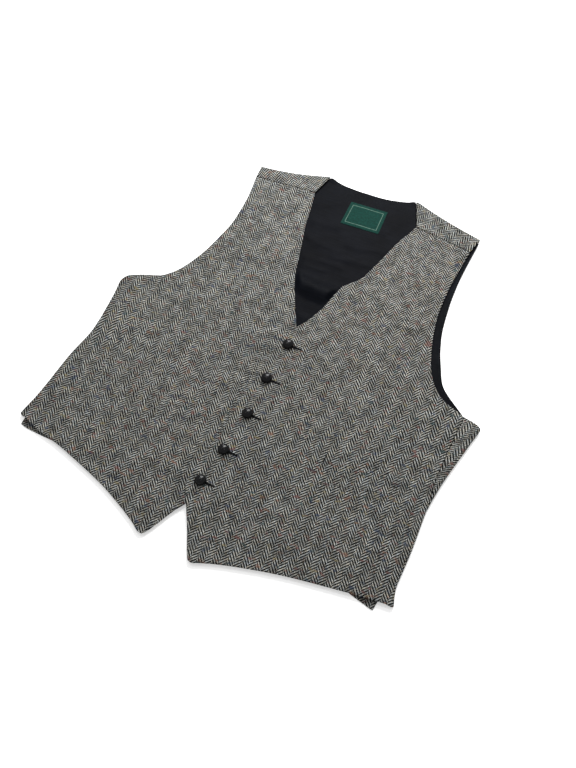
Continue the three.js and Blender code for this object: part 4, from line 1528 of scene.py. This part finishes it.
def stitch_arches(start: Array, stop: Array, rise: float, radius: float) -> Surface:
    """Stitches as low arches: rise * sin(pi * share), with ends sunk in the cloth.

    Args:
        start: Point at which each stitch comes out.
        stop: Point at which it goes in.
        rise: Height of the arch.
        radius: Radius of the thread.

    Returns:
        All stitches as one surface.
    """
    share = np.linspace(0, 1, 7)[None, :, None]
    paths = lerp(start[:, None], stop[:, None], share)
    paths[..., 2] += (rise * np.sin(np.pi * share) - 0.1 * (np.abs(share - 0.5) > 0.45))[..., 0]
    return tubes(paths, radius)


@dataclass
class Buttonhole:
    """Worked keyhole buttonhole: an eye at the button and a slit away from the edge.

    eye is a radius, slit a width and reach the length of the stitches at the eye and at the far
    end. cut_sides and stitches number the sides of the cut and the stitches round it.
    """

    number: int
    x: float
    y: float
    eye: float = 2.2
    slit: float = 1.2
    length: float = 19.0
    reach: Pair = (1.8, 0.25)
    thread: float = 0.29
    cut_sides: int = 48
    cut_heights: Pair = (-2.0, 30.0)
    stitches: int = 86

    def outline(self, count: int) -> Array:
        """Places round the hole: three quarters of the eye, then both lips and the end of the slit.

        Args:
            count: Number of places, evenly spaced by length.

        Returns:
            Points and outward directions, with x, y, direction x and direction y last.
        """
        half = self.slit / 2
        open_angle = np.arcsin(half / self.eye)
        angle = np.linspace(open_angle, 2 * np.pi - open_angle, 60)
        start = self.eye * np.cos(open_angle)
        end_angle = np.linspace(-np.pi / 2, np.pi / 2, 14)
        lip = np.linspace(start, self.length, 50)[1:]
        eye = np.stack([np.cos(angle) * self.eye, np.sin(angle) * self.eye], -1)
        lower = np.stack([lip, np.full_like(lip, -half)], -1)
        tip = np.stack([self.length + half * np.cos(end_angle), half * np.sin(end_angle)], -1)[1:-1]
        upper = lower[::-1] * (1, -1)
        line = np.concatenate([eye, lower, tip, upper, eye[:1]])
        facing = np.concatenate([
            eye / self.eye, np.tile((0, -1), (len(lower), 1)),
            np.stack([np.cos(end_angle), np.sin(end_angle)], -1)[1:-1],
            np.tile((0, 1), (len(upper), 1)), eye[:1] / self.eye,
        ])
        travelled = np.concatenate([[0], np.hypot(*np.diff(line, axis=0).T).cumsum()])
        even = np.linspace(0, travelled[-1], count, endpoint=False)
        columns = np.concatenate([line, facing], 1).T
        result = np.stack([np.interp(even, travelled, column) for column in columns], -1)
        return result + (self.x, self.y, 0, 0)

    def cutter(self) -> bpy.types.Object:
        """Makes an upright prism in the shape of the hole, used to cut the cloth.

        Returns:
            The prism.
        """
        sides = self.cut_sides
        ring = self.outline(sides)[:, :2]
        ends = [np.concatenate([ring, np.full((sides, 1), z)], 1) for z in self.cut_heights]
        points = (np.concatenate(ends) + part_shift()) * MM
        index = np.arange(sides)
        following = np.roll(index, -1)
        walls = np.stack([index, following, following + sides, index + sides], -1).tolist()
        mesh = bpy.data.meshes.new("hole")
        mesh.from_pydata(points, [], walls + [index[::-1].tolist(), (index + sides).tolist()])
        cutter = bpy.data.objects.new("hole", mesh)
        bpy.context.scene.collection.objects.link(cutter)
        return cutter

    def build(self, thread: bpy.types.Material) -> bpy.types.Object:
        """Makes purled stitches round the hole, each from the lip over a cord to the cloth.

        share and over are places along a stitch and its heights above the cloth there.

        Args:
            thread: Their finish.

        Returns:
            All stitches of the hole as one piece.
        """
        place, number = self.outline(self.stitches), np.arange(self.stitches)
        point, facing = place[:, :2], place[:, 2:]
        wobble = 0.22 * np.sin(number * 2.4) + 0.12 * np.sin(number * 5.1)
        reach = lerp(*self.reach, smooth(2, self.length, point[:, 0] - self.x)) * (1 + wobble)
        share = np.array([-0.12, 0.04, 0.3, 0.6, 0.8, 1.0])
        distance = reach[:, None] * share[None]
        plan = point[:, None] + facing[:, None] * distance[..., None]
        top = lapped_height(plan[..., 0], plan[..., 1]) + LAYERS.cloth / 2
        over = np.array([-1.3, -0.2, 0.42, 0.42, 0.22, -0.12])
        paths = np.concatenate([plan, (top + over)[..., None]], -1)
        piece = make_object(f"buttonhole_{self.number}", tubes(paths, self.thread), thread)
        return piece


@dataclass
class LeatherButton:
    """Domed button of plaited leather strips on a short shank.

    The plait is drawn in plan: strips of width strip cross over and under each other, each a low
    hump 1 - (2 side)^2 across, and are sunk by relief between them. turn is the plait's angle.
    """

    number: int
    x: float
    y: float
    radius: float = 7.5
    rise: float = 6.5
    rim: float = 2.0
    shank: float = 1.5
    strip: float = 5.2
    relief: float = 0.32
    turn: float = 0.9
    sides: int = 96
    dome_rings: int = 40

    def plait(self, x: Array, y: Array) -> Array:
        """Height of the plait over the dome's plan.

        Args:
            x: Places across, from the button's middle.
            y: Places up the garment, from there.

        Returns:
            Height at each place, from nought to one.
        """
        c, s = np.cos(self.turn), np.sin(self.turn)
        u, v = (c * x + s * y) / self.strip, (c * y - s * x) / self.strip
        side_u, side_v = u - np.round(u), v - np.round(v)
        over = (np.round(u) + np.round(v)) % 2
        along = (1 - (2 * side_v) ** 2) * (1 - 0.55 * (2 * side_u) ** 2)
        crossing = (1 - (2 * side_u) ** 2) * (1 - 0.55 * (2 * side_v) ** 2)
        return np.clip(np.where(over > 0.5, along, crossing), 0, 1) ** 0.6

    def build(self, leather: bpy.types.Material) -> bpy.types.Object:
        """Makes the turned body with its plaited dome, in place of its CAD solid.

        Args:
            leather: Its finish.

        Returns:
            The button.
        """
        low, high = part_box(f"button_{self.number}")
        foot, top = low.z / MM, high.z / MM
        seat = top - self.rise - self.rim
        angle = np.linspace(0, 2 * np.pi, self.sides, endpoint=False)[None]
        dome = np.linspace(0, np.pi / 2, self.dome_rings)[:, None]
        flat_radius = self.radius * np.cos(dome)
        x, y = flat_radius * np.cos(angle), flat_radius * np.sin(angle)
        fade = smooth(0.05, 0.35, dome)
        sunk = self.relief * (self.plait(x, y) - 1) * fade
        size = 1 + sunk / self.radius
        z = seat + self.rim + (self.rise * np.sin(dome)) * (1 + sunk / self.rise) + 0 * angle
        dome_points = np.stack([x * size, y * size, z], -1)
        profile = np.array([
            (0.02, foot), (self.shank * 0.8, foot), (self.shank, foot + 0.3), (self.shank, seat - 0.4),
            (self.shank + 0.5, seat), (self.radius - 2, seat), (self.radius - 0.9, seat + 0.3),
            (self.radius - 0.25, seat + 0.9), (self.radius, seat + 1.5),
        ])
        body = np.stack(np.broadcast_arrays(
            profile[:, :1] * np.cos(angle), profile[:, :1] * np.sin(angle), profile[:, 1:]), -1)
        points = np.concatenate([body, dome_points])
        points = np.concatenate([points, points[:, :1]], 1) + (self.x, self.y, 0)
        weave = np.stack(np.broadcast_arrays(
            np.linspace(0, 47, self.sides + 1)[None], np.arange(len(points))[:, None] * 0.3), -1)
        surface = Surface.welded([(points, weave)])
        piece = make_object(f"leather_button_{self.number}", surface, leather)
        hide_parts(f"button_{self.number}")
        return piece


@dataclass
class BarTackAndShadow:
    """Short close row of black stitches across the end of a pocket's mouth; their dark line is also
    painted shadow, standing in for the shade in the gap at the welt's end.
    """

    name: str
    start: Pair
    stop: Pair
    height: Height
    width: float = 1.3
    count: int = 15
    lift: float = 1.15
    thread: float = 0.42

    def build(self, thread: bpy.types.Material) -> bpy.types.Object:
        """Makes stitches laid side by side, square to the line.

        Args:
            thread: Their finish.

        Returns:
            All stitches as one piece.
        """
        share = np.linspace(0, 1, self.count)[:, None]
        plan = lerp(np.array(self.start), np.array(self.stop), share)
        run = np.subtract(self.stop, self.start)
        aside = np.array([-run[1], run[0]]) / np.hypot(*run) * self.width / 2
        ends = []
        for place in (plan - aside, plan + aside):
            z = self.height(place[:, 0], place[:, 1]) + LAYERS.cloth / 2 + self.lift
            ends.append(np.concatenate([place, z[:, None]], 1))
        surface = stitch_arches(ends[0], ends[1], rise=0.3, radius=self.thread)
        piece = make_object(self.name, surface, thread)
        return piece


@dataclass
class Studio:
    """Pale floor, soft light from above and behind, and the camera.

    Each lamp is its name, place, width and power.
    """

    camera: Place = (0.3047, -0.6477, 1.1218)
    target: Place = (0.0207, -0.0459, 0.005)
    lens: float = 46.875
    sensor: float = 36.0
    lamps: tuple[tuple[str, Place, float, float], ...] = (
        ("key", (-0.1, 0.8, 0.8), 0.75, 19.5),
        ("fill", (-0.3, 0.1, 1.5), 0.35, 3.6),
    )
    daylight: float = 0.42
    floor_reach: float = 12.0

    def build(self) -> None:
        """Builds floor, lamps, sky light and camera, and shows colours as they are."""
        self.floor()
        for lamp in self.lamps:
            self.lamp(*lamp)
        self.sky()
        self.viewer()
        bpy.context.scene.view_settings.view_transform = "Standard"

    def floor(self) -> None:
        """Level sheet of white paper, a little lit from within."""
        size = self.floor_reach
        mesh = bpy.data.meshes.new("stage_floor")
        corners = [(-size, -size, 0), (size, -size, 0), (size, size, 0), (-size, size, 0)]
        mesh.from_pydata(corners, [], [(0, 1, 2, 3)])
        graph = Graph("paper", Roughness=0.9, Emission_Strength=0.4)
        grain = graph.noise(graph.place(), 900, 2)
        shade = graph.mapped(grain, 0.2, 0.8, 0.955, 0.975)
        mesh.materials.append(graph.finish(graph.vector(shade, shade, shade), grain, 0.02, 0.2))
        floor = bpy.data.objects.new("stage_floor", mesh)
        bpy.context.scene.collection.objects.link(floor)

    def lamp(self, name: str, place: Place, width: float, power: float) -> None:
        """Adds a square lamp that shines on the middle of the floor.

        Args:
            name: Name of the lamp.
            place: Where it hangs.
            width: Its width.
            power: Its power in watts.
        """
        light = bpy.data.lights.new(name, "AREA")
        light.size, light.energy = width, power
        lamp = bpy.data.objects.new(name, light)
        lamp.location = place
        lamp.rotation_euler = (-Vector(place)).to_track_quat("-Z", "Y").to_euler()
        lamp.visible_camera = False
        bpy.context.scene.collection.objects.link(lamp)

    def sky(self) -> None:
        """Even white light from all round."""
        world = bpy.data.worlds.new("sky")
        world.use_nodes = True
        background = world.node_tree.nodes["Background"]
        background.inputs["Color"].default_value = (1, 1, 1, 1)
        background.inputs["Strength"].default_value = self.daylight
        bpy.context.scene.world = world

    def viewer(self) -> None:
        """Camera that looks down on the garment from beyond the hem."""
        camera = bpy.data.cameras.new("camera")
        camera.lens, camera.sensor_width = self.lens, self.sensor
        viewer = bpy.data.objects.new("camera", camera)
        viewer.location = self.camera
        aim = Vector(self.target) - Vector(self.camera)
        viewer.rotation_euler = aim.to_track_quat("-Z", "Y").to_euler()
        bpy.context.scene.collection.objects.link(viewer)
        bpy.context.scene.camera = viewer


BUTTONS = ((2.5, -3.6), (-0.2, -62.7), (0.5, -120.2), (-3.5, -178.8), (-9.7, -228.2))

# Shoulder seams on the fronts: their ends at the tip and at the neck
RIGHT_SEAM = ((-167.8, 246.8), (-76, 256))
LEFT_SEAM = ((167, 248), (82, 259))

RIGHT_FRONT = FrontPanel(
    name="right_front",
    side=RIGHT_SIDE,
    edge=RIGHT_EDGE,
    hem=Curve((
        (-42.5, -318.3), (-47, -317.9), (-59, -310.7), (-85, -297.6), (-119, -283), (-164, -268.4),
        (-200, -258.2), (-230, -252.3),
    )),
    armhole=Curve((
        (22.5, -220.5), (30, -205.6), (53, -187.3), (91, -172.4), (120, -165.2), (165, -160.2),
        (200, -161.3), (246.8, -167.6),
    )),
    underarm_row=-26,
    seam=RIGHT_SEAM,
    height=front_height,
    flat=(0.32, 0.585),
    area=0.124,
    rests_on=("lining_cloth", "back_cloth"),
    grain_turn=Curve(((-110, 0), (-30, -4.5), (60, -4.5), (160, -2), (250, -2))),
    pivot=(-110, 60),
)
LEFT_FRONT = FrontPanel(
    name="left_front",
    side=LEFT_SIDE,
    edge=Curve((
        (259, 82), (243, 76.6), (223, 69), (188, 60.2), (157, 51.8), (146, 48.5), (133, 42.5),
        (125, 34.5), (116, 28.5), (105, 25), (77, 19.6), (60, 14.6), (43, 8.8), (29, 0.8),
        (19.5, -4.5), (-4, -14.5), (-50, -19.5), (-165, -21), (-228, -28.5), (-259, -13.7),
        (-288, 3.1), (-318, 19), (-324, 23),
    )),
    hem=Curve((
        (23, -324), (28, -325.4), (36, -322.2), (50, -316.7), (80, -307.2), (135, -293.4),
        (188, -283.9), (230, -277),
    )),
    armhole=Curve((
        (-2, 243.5), (6, 221), (20, 203), (41, 189), (70, 178), (104, 169), (138, 164), (174, 163),
        (248, 167),
    )),
    underarm_row=-40,
    seam=LEFT_SEAM,
    height=lapped_height,
    flat=(0.32, 0.585),
    area=0.126,
    rests_on=("right_front_cloth", "lining_cloth", "back_cloth"),
    grain_turn=Curve(((-110, 0), (-50, 2.5), (0, 5.5), (100, 8.5), (250, 8.5))),
    pivot=(90, 60),
)
BACK = BackPanel(
    right_armhole=Curve((
        (13, -230), (30, -199), (53, -180), (91, -167), (142, -157), (200, -157), (259, -167.2),
    )),
    left_armhole=Curve((
        (0.5, 243.5), (22, 215), (36, 205.3), (61, 194.5), (81, 186.5), (104, 179.7), (137, 174.6),
        (167, 171.5), (201, 170.3), (267, 172.5),
    )),
    hem=Curve((
        (-257, -251.6), (-246, -254.2), (-213, -255.3), (-14, -246), (150, -262), (214, -279.7),
        (230, -283.4),
    )),
    neck=Curve((
        (-66.4, 294.3), (-52.8, 291.2), (-40, 289.2), (-19.6, 288.6), (5.4, 289.7), (20.7, 291.1),
        (35.3, 294), (54.8, 300.2), (64, 303.7),
    )),
    right_seam=RIGHT_SEAM,
    left_seam=LEFT_SEAM,
)
LINING = BackLining(
    back=BACK,
    creases=(
        Crease(-56, 102, 46, 96, 14, 5.2),
        Crease(-44, 71, 30, 68, 12, -1.8),
        Crease(-22, 50, 12, 47, 7, 0.8),
        Crease(-52, 128, -8, 133, 6, 0.9),
        Crease(-46, 142, 10, 149, 6, 0.9),
        Crease(-6, 160, 46, 168, 6, 0.9),
        Crease(-56, 178, -4, 171, 7, 0.8),
        Crease(6, 188, 58, 198, 6, 0.8),
        Crease(-62, 208, -20, 213, 7, 0.8),
        Crease(-66, 236, -34, 258, 7, 0.8),
        Crease(44, 232, 62, 268, 7, 0.8),
        Crease(-66, 294, -62, 292, 5, 1.2),
        Crease(61, 302, 64, 303, 5, 1.2),
    ),
)


def cut_buttonholes(panel: bpy.types.Object, holes: Sequence[Buttonhole]) -> None:
    """Cuts the buttonholes through the front.

    Args:
        panel: Cloth of the front.
        holes: The buttonholes.
    """
    cutters = [hole.cutter() for hole in holes]
    for cutter in cutters:
        cut = panel.modifiers.new("cut", "BOOLEAN")
        cut.operation, cut.solver, cut.object = "DIFFERENCE", "EXACT", cutter
    graph = bpy.context.evaluated_depsgraph_get()
    mesh = bpy.data.meshes.new_from_object(panel.evaluated_get(graph))
    panel.modifiers.clear()
    panel.data = mesh
    for cutter in cutters:
        bpy.data.objects.remove(cutter)


def report(piece: bpy.types.Object) -> None:
    """Logs a piece's name and its number of faces."""
    LOG.info("%s: %d faces", piece.name, len(piece.data.polygons))


def main() -> None:
    """Builds the garment from the surface up, then what is sewn on it, and the studio."""
    logging.basicConfig(level=logging.INFO, format="%(message)s")
    Studio().build()
    tweed = Tweed().material()
    leather = Leather().material()
    black = Thread("black_silk", (0.013, 0.0135, 0.015)).material()
    green = Thread("green_silk", (0.006, 0.03, 0.024)).material()
    label = NeckLabel(((-20.5, 221.8), (36.8, 225.8), (34, 268.8), (-21.6, 264.9)), LINING)
    pieces = [
        BACK.build(tweed),
        LINING.build(Satin().material()),
        label.build(LabelWeave().material()),
        label.stitches(green),
        RIGHT_FRONT.build(tweed),
    ]
    holes = [Buttonhole(k + 1, x, y) for k, (x, y) in enumerate(BUTTONS)]
    left = LEFT_FRONT.build(tweed)
    cut_buttonholes(left, holes)
    pieces.append(left)
    pieces += [
        PocketWelt(
            name="right_welt", lower_ends=((-204, -144), (-106, -163)), rise=27,
            height=front_height, shift=2.6, rests_on="right_front_cloth",
        ).build(tweed),
        PocketWelt(
            name="left_welt", lower_ends=((113, -171), (208, -144)), rise=28,
            height=lapped_height, shift=3.4, rests_on="left_front_cloth",
        ).build(tweed),
        # Black stitches at the left welt's inner end: real stitching, and also painted shadow of the
        # gap at the welt's end
        BarTackAndShadow("pocket_tack_and_shadow", (114.8, -127), (114.8, -140), lapped_height).build(black),
    ]
    pieces += [hole.build(black) for hole in holes]
    pieces += [LeatherButton(k + 1, x, y).build(leather) for k, (x, y) in enumerate(BUTTONS)]
    for piece in pieces:
        report(piece)
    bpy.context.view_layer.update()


if __name__ == "__main__":
    main()
